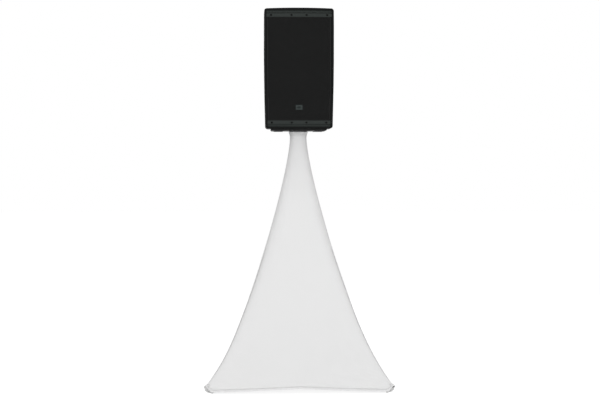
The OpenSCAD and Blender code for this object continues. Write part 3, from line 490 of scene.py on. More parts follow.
@dataclass(frozen=True)
class Palette:
    """Every finish of the loudspeaker, its stand and its cover."""

    cabinet: Finish = Moulding(
        "cabinet_plastic", (0.0043, 0.0048, 0.0047), 0.52, 900.0, 0.00009, 0.075
    )
    trim: Finish = Moulding("trim_plastic", (0.0215, 0.0262, 0.0244), 0.56, 1300.0, 0.00004, 0.16)
    handle: Finish = Moulding("handle_plastic", (0.009, 0.0095, 0.0095), 0.5, 1000.0, 0.00006, 0.2)
    plinth: Finish = Moulding("plinth_plastic", (0.008, 0.009, 0.0086), 0.52, 1000.0, 0.00006, 0.16)
    horn: Finish = Moulding("horn_plastic", (0.014, 0.014, 0.014), 0.45)
    port: Finish = Moulding("port_plastic", (0.012, 0.012, 0.012), 0.5)
    socket: Finish = Moulding("socket_plastic", (0.015, 0.015, 0.015), 0.4)
    knob: Finish = Moulding("knob_plastic", (0.022, 0.022, 0.023), 0.42)
    button: Finish = Moulding("button_plastic", (0.16, 0.16, 0.165), 0.4)
    rocker: Finish = Moulding("rocker_plastic", (0.017, 0.017, 0.017), 0.22, 2000.0, 0.00001)
    badge: Finish = PlatedMetal("badge_plastic", (0.024, 0.031, 0.030), 0.45, 0.25, 0.2)
    hub: Finish = Moulding("hub_plastic", (0.018, 0.018, 0.018), 0.5)
    wing: Finish = Moulding("wing_plastic", (0.016, 0.016, 0.016), 0.45)
    cap: Finish = Moulding("cap_plastic", (0.014, 0.014, 0.014), 0.55)
    grille: Finish = PowderCoat("grille_steel", (0.0092, 0.0095, 0.0094), 0.62, 900.0, 0.13)
    driver: Finish = PowderCoat("driver_metal", (0.022, 0.022, 0.022))
    panel: Finish = PowderCoat("amp_panel_metal", (0.022, 0.022, 0.024), 0.42)
    sink: Finish = PowderCoat("heat_sink_metal", (0.02, 0.02, 0.02), 0.4)
    tube: Finish = PowderCoat("tube_paint", (0.017, 0.017, 0.017), 0.36)
    brace: Finish = PowderCoat("brace_metal", (0.018, 0.018, 0.018), 0.4)
    black_screw: Finish = PlatedMetal("black_screw", (0.003, 0.003, 0.003), 0.45, 0.2, 0.04)
    steel_screw: Finish = PlatedMetal("steel_screw", (0.5, 0.5, 0.51))
    magnet: Finish = PlatedMetal("magnet_steel", (0.3, 0.3, 0.31), 0.35)
    insert: Finish = PlatedMetal("insert_steel", (0.55, 0.55, 0.56))
    pin: Finish = PlatedMetal("pin_steel", (0.56, 0.56, 0.57), 0.24)
    pole_socket: Finish = PlatedMetal("socket_metal", (0.06, 0.06, 0.06), 0.4)
    foam: Finish = OpenFoam("grille_foam", (0.0035, 0.0035, 0.0035))
    cone: Finish = PressedPaper("cone_paper", (0.03, 0.03, 0.03))
    spider: Finish = PressedPaper("spider_cloth", (0.55, 0.38, 0.18))
    former: Finish = PressedPaper("coil_former", (0.4, 0.24, 0.08), 0.0002)
    surround: Finish = CastRubber("surround_rubber", (0.014, 0.014, 0.014), 0.7)
    pad: Finish = CastRubber("pad_rubber", (0.012, 0.012, 0.012))
    foot: Finish = CastRubber("foot_rubber", (0.013, 0.013, 0.013))
    board: Finish = CircuitBoard("circuit_board", (0.02, 0.16, 0.06))
    copper: Finish = WoundWire("coil_copper", (0.72, 0.33, 0.14))
    lens: Finish = Lens("led_lens", (0.12, 0.55, 0.16))
    knit: Finish = StretchKnit("cover_cloth", (0.80, 0.80, 0.80))
    thread: Finish = Thread("cover_thread", (0.79, 0.79, 0.785))
    legend: Finish = Moulding("panel_ink", (0.62, 0.62, 0.62), 0.55, 1500.0, 0.00001)


class Paintbox:
    """Builds each finish once and hands out its material."""

    def __init__(self, palette: Palette) -> None:
        """Keeps the palette; materials are made when first asked for."""
        self.palette = palette
        self._made: dict[str, bpy.types.Material] = {}

    def get(self, name: str) -> bpy.types.Material:
        """The material of the palette's finish called name."""
        if name not in self._made:
            self._made[name] = getattr(self.palette, name).material()
        return self._made[name]


# ---- meshes ------------------------------------------------------------------------------


class Edge(Enum):
    """How softly the edges of a carried-over part are rounded, in metres."""

    CRISP = 0.00025
    FINE = 0.0005
    SOFT = 0.0011


@dataclass
class Sheet:
    """Vertices, faces and layouts gathered before a mesh is made."""

    points: list[np.ndarray] = field(default_factory=list)
    faces: list[tuple[int, ...]] = field(default_factory=list)
    normals: list[np.ndarray] = field(default_factory=list)
    layout: list[np.ndarray] = field(default_factory=list)
    coats: list[int] = field(default_factory=list)
    count: int = 0

    def put(
        self,
        points: np.ndarray,
        faces: Iterable[Sequence[int]],
        coat: int = 0,
        normals: np.ndarray | None = None,
        layout: np.ndarray | None = None,
    ) -> None:
        """Adds a block of vertices and the faces on them.

        Args:
            points: n by 3 places.
            faces: corner numbers within the block.
            coat: which material slot the faces take.
            normals: n by 3 shading directions, or none.
            layout: n by 2 lengths across and along the cloth, or none.
        """
        start = self.count
        self.points.append(points)
        self.normals.append(np.zeros_like(points) if normals is None else normals)
        self.layout.append(np.zeros((len(points), 2)) if layout is None else layout)
        for face in faces:
            self.faces.append(tuple(int(v) + start for v in face))
            self.coats.append(coat)
        self.count += len(points)

    def build(self, name: str, materials: Sequence[bpy.types.Material]) -> bpy.types.Object:
        """Makes the object, smooth-shaded, with its layout and any shading directions.

        Args:
            name: the new object's name.
            materials: its material slots in order.

        Returns:
            The object, linked to the scene.
        """
        mesh = bpy.data.meshes.new(name)
        points = np.concatenate(self.points)
        mesh.from_pydata(points.tolist(), [], self.faces)
        for material in materials:
            mesh.materials.append(material)
        mesh.polygons.foreach_set("material_index", np.array(self.coats, np.int32))
        mesh.polygons.foreach_set("use_smooth", np.ones(len(self.faces), bool))
        corners = np.zeros(len(mesh.loops), np.int32)
        mesh.loops.foreach_get("vertex_index", corners)
        layout = np.concatenate(self.layout)[corners]
        mesh.uv_layers.new(name="cloth").data.foreach_set("uv", layout.ravel())
        normals = np.concatenate(self.normals)
        if np.abs(normals).sum() > 0:
            mesh.normals_split_custom_set(normals[corners].tolist())
        mesh.update()
        piece = bpy.data.objects.new(name, mesh)
        bpy.context.scene.collection.objects.link(piece)
        return piece


def grid_faces(rows: int, columns: int, wrap: bool = False, flip: bool = False) -> list:
    """Quads of a grid of rows by columns, joined round its columns if wrap is set."""
    out = []
    for i in range(rows - 1):
        for j in range(columns if wrap else columns - 1):
            k = (j + 1) % columns
            quad = (i * columns + j, (i + 1) * columns + j, (i + 1) * columns + k, i * columns + k)
            out.append(quad[::-1] if flip else quad)
    return out


def swept(
    path: np.ndarray, across: np.ndarray, out: np.ndarray, outline: np.ndarray
) -> np.ndarray:
    """Places a closed outline along a path.

    Args:
        path: n by 3 points.
        across: n by 3 directions for the outline's first measure.
        out: n by 3 directions for its second measure.
        outline: m by 2 measures.

    Returns:
        n times m points, path point by path point.
    """
    rings = (
        path[:, None, :]
        + across[:, None, :] * outline[None, :, 0, None]
        + out[:, None, :] * outline[None, :, 1, None]
    )
    return rings.reshape(-1, 3)


def unit(v: np.ndarray) -> np.ndarray:
    """v scaled to length one along its last axis."""
    return v / np.maximum(np.linalg.norm(v, axis=-1, keepdims=True), 1e-12)


def dress(node: bpy.types.Object, material: bpy.types.Material, edge: Edge | None) -> None:
    """Gives a carried-over part its material and rounds its edges.

    Args:
        node: the part's object.
        material: its finish.
        edge: how far its edges are rounded, or none for a part that is already soft.
    """
    mesh = node.data
    mesh.materials.clear()
    mesh.materials.append(material)
    mesh.polygons.foreach_set("use_smooth", np.ones(len(mesh.polygons), bool))
    weld = node.modifiers.new("join", "WELD")
    weld.merge_threshold = 0.00001
    if edge is not None:
        plane = node.modifiers.new("plane", "DECIMATE")
        plane.decimate_type = "DISSOLVE"
        plane.angle_limit = math.radians(0.4)
        bevel = node.modifiers.new("round", "BEVEL")
        bevel.width = edge.value
        bevel.segments = 2
        bevel.limit_method = "ANGLE"
        bevel.angle_limit = math.radians(32.0)
        bevel.use_clamp_overlap = True
        bevel.miter_outer = "MITER_ARC"
    soft = node.modifiers.new("shade", "WEIGHTED_NORMAL")
    soft.keep_sharp = False
    soft.weight = 60


# ---- loudspeaker -------------------------------------------------------------------------


@dataclass
class Loudspeaker:
    """The loudspeaker: dressed parts and the perforated grille."""

    paint: Paintbox
    nodes: dict[str, bpy.types.Object]
    zero: float = 1.390
    grille_gap: float = 0.0005
    plain_margin: float = 0.0028
    plinth: float = 0.011
    height: float = 0.644
    low_width: float = 0.360
    high_width: float = 0.372
    bulge: float = 0.0034
    reach: float = 0.155
    bow: float = 0.008
    rim: float = 0.012
    grille_depth: float = 0.0025
    sheet: float = 0.0015
    hole_pitch: float = 0.00635
    hole_radius: float = 0.0023
    return_depth: float = 0.005

    DRESS = {
        "cabinet_front": ("cabinet", Edge.SOFT),
        "cabinet_rear": ("cabinet", Edge.SOFT),
        "grille_foam": ("foam", None),
        "trim_bar_top": ("trim", Edge.FINE),
        "trim_bar_bottom": ("trim", Edge.FINE),
        "grille_screws": ("black_screw", Edge.CRISP),
        "badge": ("badge", Edge.CRISP),
        "woofer_basket": ("driver", Edge.FINE),
        "woofer_magnet": ("magnet", Edge.FINE),
        "woofer_cone": ("cone", None),
        "woofer_surround": ("surround", None),
        "dust_cap": ("cone", None),
        "voice_coil": ("copper", None),
        "spider": ("spider", None),
        "woofer_screws": ("black_screw", Edge.CRISP),
        "horn": ("horn", Edge.FINE),
        "horn_screws": ("black_screw", Edge.CRISP),
        "compression_driver": ("driver", Edge.FINE),
        "port_tubes": ("port", Edge.FINE),
        "amp_panel": ("panel", Edge.CRISP),
        "heat_sink": ("sink", Edge.CRISP),
        "amp_board": ("board", None),
        "power_supply": ("former", Edge.FINE),
        "amp_screws": ("steel_screw", Edge.CRISP),
        "xlr_sockets": ("socket", Edge.CRISP),
        "power_inlet": ("socket", Edge.CRISP),
        "status_leds": ("lens", None),
        "handle_cups": ("handle", Edge.SOFT),
        "pole_socket": ("pole_socket", Edge.FINE),
        "plinth": ("plinth", Edge.SOFT),
        "plinth_pads": ("pad", Edge.FINE),
        "rigging_inserts": ("insert", Edge.CRISP),
        "gain_knob_a": ("knob", Edge.CRISP),
        "gain_knob_b": ("knob", Edge.CRISP),
        "main_knob": ("knob", Edge.CRISP),
        "power_rocker": ("rocker", Edge.FINE),
        "line_button_a": ("button", Edge.CRISP),
        "line_button_b": ("button", Edge.CRISP),
        "eq_button": ("button", Edge.CRISP),
    }

    def dress(self) -> None:
        """Gives every loudspeaker part its finish and soft edges."""
        for name, (finish, edge) in self.DRESS.items():
            dress(self.nodes[name], self.paint.get(finish), edge)

    def half_width(self, z: np.ndarray | float) -> np.ndarray | float:
        """Half the cabinet's width at a height above the plinth's underside."""
        t = (z - self.plinth) / self.height
        rise = (self.high_width - self.low_width) / 2
        return self.low_width / 2 + rise * t + self.bulge * 4 * t * (1 - t)

    def front(self, x: np.ndarray | float) -> np.ndarray | float:
        """Where the bowed front lies at x."""
        return -self.reach + self.bow * (x / (self.high_width / 2)) ** 2

    def outline(self, low: float, high: float) -> np.ndarray:
        """The grille's edge as a loop of points, from its lower right corner upwards.

        Args:
            low: height of its lower edge.
            high: height of its upper edge.

        Returns:
            n by 2 points.
        """
        gap, step = self.grille_gap, 0.008
        heights = np.linspace(low, high, round((high - low) / step))
        right = np.stack([self.half_width(heights - self.zero) - self.rim - gap, heights], 1)
        across = np.linspace(1, -1, 44)[1:-1]
        top = np.stack([right[-1, 0] * across, np.full(42, high)], 1)
        foot = np.stack([-right[0, 0] * across, np.full(42, low)], 1)
        return np.concatenate([right, top, right[::-1] * [-1, 1], foot])

    def grille(self) -> bpy.types.Object:
        """Makes the perforated sheet: staggered round holes, a plain margin and folded edges."""
        low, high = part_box("grille")
        edge = self.outline(low.z + 0.0003, high.z - 0.0003)
        pitch, lift = self.hole_pitch, self.hole_pitch * math.sqrt(3) / 2
        corner = pitch / math.sqrt(3)
        middle = (low.z + high.z) / 2
        margin = self.plain_margin + corner
        cells: list[tuple[int, int]] = []
        rows = int((high.z - low.z) / 2 / lift) + 1
        for row in range(-rows, rows + 1):
            z = middle + row * lift
            if not low.z + margin < z < high.z - margin:
                continue
            limit = self.half_width(z - self.zero) - self.rim - self.grille_gap - margin
            for column in range(-40, 41):
                if abs((column + (row % 2) / 2) * pitch) < limit:
                    cells.append((row, column))
        centre = {c: ((c[1] + (c[0] % 2) / 2) * pitch, middle + c[0] * lift) for c in cells}
        # hexagon corners are shared between neighbours, keyed by rounded place
        index: dict[tuple[int, int], int] = {}
        flat: list[tuple[float, float]] = []
        rings: list[list[int]] = []
        for c in cells:
            ring = []
            for k in range(6):
                a = math.radians(30 + 60 * k)
                x, z = centre[c][0] + corner * math.cos(a), centre[c][1] + corner * math.sin(a)
                key = (round(x * 2e4), round(z * 2e4))
                if key not in index:
                    index[key] = len(flat)
                    flat.append((x, z))
                ring.append(index[key])
            rings.append(ring)
        shared: dict[frozenset[int], int] = {}
        for ring in rings:
            for k in range(6):
                side = frozenset((ring[k], ring[(k + 1) % 6]))
                shared[side] = shared.get(side, 0) + 1
        rim = [tuple(s) for s, n in shared.items() if n == 1]
        faces = self.margin(flat, rim, edge, set(cells), middle)
        faces += self.holes(flat, rings, [centre[c] for c in cells])
        points = np.array(flat)
        surface = np.stack(
            [points[:, 0], self.front(points[:, 0]) + self.grille_depth, points[:, 1]], 1
        )
        sheet = Sheet()
        walls = self.wall_faces(flat, len(rings))
        back = surface[walls[0]:].copy()
        back[:, 1] += self.sheet
        sheet.put(np.concatenate([surface, back]), faces + walls[1])
        loop = np.stack([edge[:, 0], self.front(edge[:, 0]) + self.grille_depth, edge[:, 1]], 1)
        inner = loop - unit(loop - loop.mean(0)) * [0.0006, 0, 0.0006]
        folded = np.concatenate([loop, loop, inner])
        folded[len(loop):, 1] += self.return_depth
        sheet.put(folded, grid_faces(3, len(loop), wrap=True))
        piece = sheet.build("perforated_grille", [self.paint.get("grille")])
        turn = bmesh.new()
        turn.from_mesh(piece.data)
        bmesh.ops.remove_doubles(turn, verts=turn.verts, dist=0.000002)
        bmesh.ops.recalc_face_normals(turn, faces=turn.faces)
        turn.to_mesh(piece.data)
        turn.free()
        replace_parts(piece, "grille")
        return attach(piece, "speaker")

    def margin(
        self,
        flat: list[tuple[float, float]],
        rim: list[tuple[int, int]],
        edge: np.ndarray,
        used: set[tuple[int, int]],
        middle: float,
    ) -> list[tuple[int, ...]]:
        """Fills the plain margin between the outermost holes' cells and the sheet's edge.

        Args:
            flat: cell corners so far, to which the edge's points are added.
            rim: outermost sides of the cells, as pairs of corner numbers.
            edge: the sheet's edge.
            used: the cells that are there, as row and column.
            middle: height of row 0.

        Returns:
            Triangles on the numbers of flat.
        """
        corners = sorted({v for side in rim for v in side})
        local = {v: i for i, v in enumerate(corners)}
        start = len(flat)
        flat.extend((float(x), float(z)) for x, z in edge)
        numbers = corners + list(range(start, len(flat)))
        sides = [(local[a], local[b]) for a, b in rim]
        n = len(corners)
        sides += [(n + i, n + (i + 1) % len(edge)) for i in range(len(edge))]
        places = [Vector(flat[i]) for i in numbers]
        verts, _, faces, origin, _, _ = delaunay_2d_cdt(places, sides, [], 1, 1e-7)
        pitch, lift = self.hole_pitch, self.hole_pitch * math.sqrt(3) / 2
        out = []
        for face in faces:
            x, z = sum((verts[v] for v in face), Vector((0, 0))) / len(face)
            best, cell = 1.0, None
            for row in (math.floor((z - middle) / lift), math.ceil((z - middle) / lift)):
                column = round(x / pitch - (row % 2) / 2)
                dx = x - (column + (row % 2) / 2) * pitch
                distance = math.hypot(dx, z - middle - row * lift)
                if distance < best:
                    best, cell = distance, (row, column)
            if cell not in used:
                out.append(tuple(numbers[origin[v][0]] for v in face))
        return out

    def holes(
        self,
        flat: list[tuple[float, float]],
        rings: list[list[int]],
        centres: list[tuple[float, float]],
    ) -> list[tuple[int, ...]]:
        """Fills each cell between its corners and its round hole.

        Args:
            flat: points so far, to which the holes' edges are added.
            rings: the corner numbers of each cell.
            centres: the middle of each cell.

        Returns:
            Triangles on the numbers of flat.
        """
        sides = 8
        outer = [30 + 60 * k for k in range(6)]
        inner = [22.5 + 45 * k for k in range(sides)]
        pattern: list[tuple[tuple[str, int], ...]] = []
        i = j = 0
        while i < 6 or j < sides:
            next_outer = outer[i % 6] + 360 * (i // 6) + 60
            next_inner = inner[j % sides] + 360 * (j // sides) + 45
            if j >= sides or (i < 6 and next_outer <= next_inner):
                pattern.append((("o", i % 6), ("o", (i + 1) % 6), ("i", j % sides)))
                i += 1
            else:
                pattern.append((("o", i % 6), ("i", (j + 1) % sides), ("i", j % sides)))
                j += 1
        out = []
        for ring, (x, z) in zip(rings, centres):
            start = len(flat)
            for a in inner:
                turn = math.radians(a)
                dx, dz = math.cos(turn), math.sin(turn)
                flat.append((x + self.hole_radius * dx, z + self.hole_radius * dz))
            for triangle in pattern:
                out.append(tuple(ring[k] if which == "o" else start + k for which, k in triangle))
        return out

    def wall_faces(
        self, flat: list[tuple[float, float]], holes: int
    ) -> tuple[int, list[tuple[int, ...]]]:
        """The walls of the holes, between their front edges and copies of them further back.

        Args:
            flat: all points; the last are the holes' edges.
            holes: how many holes there are.

        Returns:
            The number of the first hole-edge point, and the walls' quads.
        """
        sides, total = 8, len(flat)
        first = total - sides * holes
        out = []
        for h in range(holes):
            for k in range(sides):
                a, b = first + h * sides + k, first + h * sides + (k + 1) % sides
                out.append((a, b, b - first + total, a - first + total))
        return first, out

    def legends(self) -> list[bpy.types.Object]:
        """Prints plain scale ticks round the level knobs on the rear panel."""
        made = []
        for name, radius, inner in (
            ("gain_knob_a", 0.0125, 0.0105),
            ("gain_knob_b", 0.0125, 0.0105),
            ("main_knob", 0.0185, 0.016),
        ):
            low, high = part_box(name)
            x, z = (low.x + high.x) / 2, (low.z + high.z) / 2
            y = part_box("amp_panel")[1].y + 0.0001
            sheet = Sheet()
            for step in range(11):
                angle = math.radians(225 - 27 * step)
                along = np.array([math.cos(angle), 0.0, math.sin(angle)])
                side = np.array([-math.sin(angle), 0.0, math.cos(angle)]) * 0.0003
                long = radius + (0.0012 if step in (0, 5, 10) else 0.0)
                middle = np.array([x, y, z])
                corners = [
                    middle + along * inner - side,
                    middle + along * long - side,
                    middle + along * long + side,
                    middle + along * inner + side,
                ]
                block = np.array(corners + [c + [0, 0.00008, 0] for c in corners])
                sheet.put(
                    block,
                    [(4, 5, 6, 7), (0, 1, 5, 4), (1, 2, 6, 5), (2, 3, 7, 6), (3, 0, 4, 7)],
                )
            piece = sheet.build(f"scale_ticks_{name}", [self.paint.get("legend")])
            made.append(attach(piece, "speaker"))
        return made


# ---- stand -------------------------------------------------------------------------------


@dataclass
class Stand:
    """The tripod pole stand: dressed parts."""

    paint: Paintbox
    nodes: dict[str, bpy.types.Object]

    DRESS = {
        "outer_tube": ("tube", Edge.FINE),
        "leg_hub": ("hub", Edge.FINE),
        "hub_pins": ("pin", Edge.FINE),
        "tube_cap": ("cap", Edge.FINE),
        "mast_clamp": ("hub", Edge.SOFT),
        "mast_clamp_knob": ("wing", Edge.SOFT),
        "mast_tube": ("tube", Edge.FINE),
        "load_flange": ("hub", Edge.FINE),
        "brace_collar": ("hub", Edge.FINE),
        "collar_knob": ("wing", Edge.SOFT),
        "leg_1": ("tube", None),
        "leg_2": ("tube", None),
        "leg_3": ("tube", None),
        "foot_1": ("foot", Edge.SOFT),
        "foot_2": ("foot", Edge.SOFT),
        "foot_3": ("foot", Edge.SOFT),
        "brace_1": ("brace", Edge.CRISP),
        "brace_2": ("brace", Edge.CRISP),
        "brace_3": ("brace", Edge.CRISP),
    }

    def dress(self) -> None:
        """Gives every part of the stand its finish and soft edges."""
        for name, (finish, edge) in self.DRESS.items():
            dress(self.nodes[name], self.paint.get(finish), edge)


# ---- cover -------------------------------------------------------------------------------


class Gore(Enum):
    """The three lower panels, by the leg that each one follows: body and direction in degrees."""

    REAR = ("rear_leg", 90.0)
    LEFT = ("left_leg", 210.0)
    RIGHT = ("right_leg", 330.0)


@dataclass
class Cover:
    """The stretch cover: a neck that follows the mast and three panels that follow the legs."""

    paint: Paintbox
    neck_radius: float = 0.045
    neck_height: float = 1.352
    neck_flare: float = 0.0095
    top: float = 1.385
    join: float = 0.76
    spread: float = 0.472
    flare: float = 0.096
    pivot_radius: float = 0.045
    pivot_height: float = 0.540
    leg_reach: float = 0.569
    bell: float = 0.025
    bell_dip: float = 0.0015
    cloth: float = 0.0009
    hem: float = 0.014
    stitch: float = 0.0034
    skirt: float = 0.75
    cap_turn: float = 4.4
    lowest: float = 0.0004
    thread: float = 0.00042
    stretch: float = 1.2

    OPEN = {Gore.REAR: 0.0, Gore.LEFT: 0.0, Gore.RIGHT: 0.30}

    def __post_init__(self) -> None:
        """Works out where the bell of each leg lies."""
        self.lean = math.atan((self.leg_reach - self.pivot_radius) / self.pivot_height)
        self.bell_z = self.bell * math.sin(self.lean) - self.bell_dip
        run = (self.pivot_height - self.bell_z) * math.tan(self.lean)
        self.bell_x = self.pivot_radius + run

    # -- the cloth's shape

    def drop(self, z: np.ndarray) -> np.ndarray:
        """0 at the neck and 1 on the floor."""
        return np.clip((self.neck_height - z) / self.neck_height, 0.0, None)

    def ridge(self, z: np.ndarray) -> np.ndarray:
        """Distance of the three ridges from the pole's axis."""
        d = self.drop(z)
        above = np.clip(z - self.neck_height, 0.0, None) / 0.038
        collar = self.neck_radius + self.neck_flare * above**2
        return collar + self.spread * d**1.33 + self.flare * d**9

    def pocket(self, away: np.ndarray, z: np.ndarray) -> np.ndarray:
        """Polar radius of the pocket over a leg's bell, away degrees from its ridge."""
        t = np.clip((z - 2 * self.bell_z - 0.002) / 0.036, 0.0, 1.0)
        fade = t * t * (3 - 2 * t)
        centre = self.bell_x - 0.060 * fade
        radius = self.bell + 0.0023 - 0.012 * fade
        a = np.radians(away)
        aside = centre * np.sin(a)
        inside = (np.abs(aside) < radius) & (t < 1) & (away < 60)
        reach = centre * np.cos(a) + np.sqrt(np.clip(radius**2 - aside**2, 0.0, None))
        return np.where(inside, reach, 0.0)

    def plain(self, away: np.ndarray, z: np.ndarray) -> np.ndarray:
        """Polar radius of the cloth without folds, away degrees from the nearest ridge."""
        pull = 1 + 0.95 * self.drop(z) ** 0.75
        k = np.maximum(pull, math.sqrt(2))
        p = 1 / (1 - np.log2(k))
        s = np.radians(60 - away)
        far = np.where(away < 30, np.clip(np.cos(np.radians(60 + away)), 0, None), 0.0)
        near = np.cos(s)
        total = near**p + np.where(far > 0, far**p, 0.0)
        corner = self.ridge(z) / k / total ** (1 / p)
        share = np.minimum(1.0, (pull - 1) / (math.sqrt(2) - 1))
        radius = (1 - share) * self.ridge(z) + share * corner
        return np.maximum(radius, self.pocket(away, z))

    def hem_height(self, away: np.ndarray) -> np.ndarray:
        """Height of the hem, away degrees from the nearest ridge."""
        fall = 0.029 * np.exp(-((away / 2.6) ** 4))
        return 0.008 + 0.018 * (away / 60) ** 0.8 + fall

    def off_hem(self, away: np.ndarray, z: np.ndarray) -> np.ndarray:
        """How far up the skirt a point is, from 0 at the hem to the skirt's length at the join."""
        hem = self.hem_height(away)
        return (z - hem) * self.skirt / (self.join - hem)

    def folds(self, angle: np.ndarray, z: np.ndarray) -> np.ndarray:
        """Small folds, seams and hem, as a distance outwards.

        Args:
            angle: direction from the pole in degrees.
            z: height.

        Returns:
            How far the cloth stands proud of its plain shape.
        """
        turn = (angle - 90.0) % 120.0
        signed = np.where(turn > 60, turn - 120, turn)
        away = np.abs(signed)
        radius = self.plain(away, z)
        aside = radius * np.sin(np.radians(signed))
        out = np.zeros_like(radius)
        # gathers under the neck's elastic
        gather = np.exp(-(((self.top - 0.012 - z) / 0.030) ** 2))
        a = np.radians(angle)
        out += 0.0006 * gather * np.sin(a * 26 + 0.8 * np.sin(a * 5))
        # slow slack of the long panels
        slack = np.clip(self.drop(z) * 1.6 - 0.2, 0, 1)
        out += 0.0011 * slack * np.sin(7.1 * z + a * 3.0)
        out += 0.0008 * slack * np.sin(17.0 * z - a * 7.0 + 1.3)
        # pulls that fan out of each foot, strongest on the right of the front
        lift = z - self.bell_z
        for leg, side, strength in (
            (330.0, -1, 1.0),
            (330.0, 1, 0.35),
            (210.0, 1, 0.45),
            (210.0, -1, 0.35),
            (90.0, 1, 0.5),
            (90.0, -1, 0.45),
        ):
            from_leg = (angle - leg + 180.0) % 360.0 - 180.0
            turned = from_leg * side
            end = np.clip((56.0 - turned) / 18.0, 0, 1)
            on_side = np.clip(turned / 2.5 - 0.4, 0, 1) * end * end * (3 - 2 * end)
            run = np.abs(aside)
            reach = np.hypot(run, lift)
            fan = np.arctan2(lift, run + 0.02)
            near = np.exp(-(((reach - 0.10) / 0.09) ** 2))
            out += 0.0016 * strength * on_side * near * np.sin(fan * 19 + reach * 9 + leg)
            crease = np.exp(-((fan - 0.17) / 0.035) ** 2) * np.exp(-(((reach - 0.16) / 0.08) ** 2))
            out += 0.0021 * strength * on_side * crease
            long_pull = np.exp(-(((run - 0.045 - 0.05 * z) / 0.011) ** 2))
            band = np.exp(-(((z - 0.30) / 0.085) ** 2))
            out -= 0.0022 * strength * on_side * long_pull * band
        # flat-felled seam down each ridge, fading into the neck
        out += 0.00055 * np.exp(-((aside / 0.0032) ** 6)) * np.clip((self.top - z) / 0.05, 0, 1)
        # turned-up hem
        up = self.off_hem(away, z)
        out += 0.0003 / (1 + np.exp(np.clip((up - self.hem) / 0.0007, -40, 40)))
        return out

    def surface(self, angle: np.ndarray, z: np.ndarray) -> np.ndarray:
        """Points of the cloth's outside at directions in degrees and heights."""
        turn = (angle - 90.0) % 120.0
        away = np.minimum(turn, 120 - turn)
        radius = self.plain(away, z) + self.folds(angle, z)
        a = np.radians(angle)
        return np.stack([radius * np.cos(a), radius * np.sin(a), z], -1)

    def outward(self, angle: np.ndarray, z: np.ndarray) -> np.ndarray:
        """Directions straight out of the cloth at the same points."""
        da, dz = 0.02, 0.0002
        along = self.surface(angle + da, z) - self.surface(angle - da, z)
        up = self.surface(angle, z + dz) - self.surface(angle, z - dz)
        return unit(np.cross(along, up))

    # -- pieces

    def shell(self, angle: np.ndarray, z: np.ndarray, name: str, wrap: bool) -> Sheet:
        """Makes a closed shell of cloth from a grid of directions and heights.

        Args:
            angle: rows by columns of directions, in degrees.
            z: the same of heights, from the top row down.
            name: what the log calls it.
            wrap: whether the last column meets the first.

        Returns:
            The shell, ready for stitches to be added.
        """
        rows, columns = angle.shape
        outer = self.surface(angle, z)
        normal = self.outward(angle, z)
        inner = outer - normal * self.cloth
        inner[..., 2] = np.maximum(inner[..., 2], self.lowest)
        across = np.zeros((rows, columns))
        across[:, 1:] = np.cumsum(np.linalg.norm(np.diff(outer, axis=1), axis=-1), 1)
        across -= across[:, columns // 2, None]
        along = np.zeros((rows, columns))
        along[1:] = np.cumsum(np.linalg.norm(np.diff(outer, axis=0), axis=-1), 0)
        layout = np.stack([across, along], -1).reshape(-1, 2)
        count = rows * columns
        points = np.concatenate([outer.reshape(-1, 3), inner.reshape(-1, 3)])
        faces = grid_faces(rows, columns, wrap)
        faces += [tuple(v + count for v in f) for f in grid_faces(rows, columns, wrap, flip=True)]
        for i, flip in ((0, True), (rows - 1, False)):
            for j in range(columns if wrap else columns - 1):
                a, b = i * columns + j, i * columns + (j + 1) % columns
                quad = (a, a + count, b + count, b)
                faces.append(quad[::-1] if flip else quad)
        if not wrap:
            for j, flip in ((0, False), (columns - 1, True)):
                for i in range(rows - 1):
                    a, b = i * columns + j, (i + 1) * columns + j
                    quad = (a, a + count, b + count, b)
                    faces.append(quad[::-1] if flip else quad)
        sheet = Sheet()
        flat = normal.reshape(-1, 3)
        sheet.put(
            points,
            faces,
            0,
            np.concatenate([flat, -flat]),
            np.concatenate([layout, layout]),
        )
        LOG.info("%s: %d points of cloth", name, 2 * count)
        return sheet

    def stitches(self, sheet: Sheet, angle: np.ndarray, z: np.ndarray) -> None:
        """Lays a row of stitches along a line of the cloth.

        Args:
            sheet: the shell that the stitches are part of.
            angle: directions along the line, close together, in degrees.
            z: heights along it.
        """
        line = self.surface(angle, z)
        length = np.concatenate([[0], np.cumsum(np.linalg.norm(np.diff(line, axis=0), axis=1))])
        centres = np.arange(self.stitch, length[-1] - self.stitch, self.stitch)
        half = self.stitch * 0.36
        outline = np.array([[math.cos(a), math.sin(a)] for a in np.radians([0, 72, 144, 216, 288])])
        stops = ((-1.0, 0.25), (-0.6, 0.9), (0.6, 0.9), (1.0, 0.25))
        for c in centres:
            spots = [np.interp(c + half * s, length, angle) for s, _ in stops]
            heights = [np.interp(c + half * s, length, z) for s, _ in stops]
            a, h = np.array(spots), np.array(heights)
            path, out = self.surface(a, h), self.outward(a, h)
            along = unit(path[-1:] - path[:1]).repeat(4, 0)
            side = unit(np.cross(along, out))
            thick = np.array([w for _, w in stops])[:, None] * self.thread
            path = path + out * (thick * 0.35)
            ring = swept(path, side * thick, out * thick, outline)
            normal = swept(np.zeros((4, 3)), side, out, outline)
            faces = grid_faces(4, 5, wrap=True, flip=True)
            faces += [(0, 1, 2, 3, 4), (19, 18, 17, 16, 15)]
            sheet.put(ring, faces, 1, unit(normal))

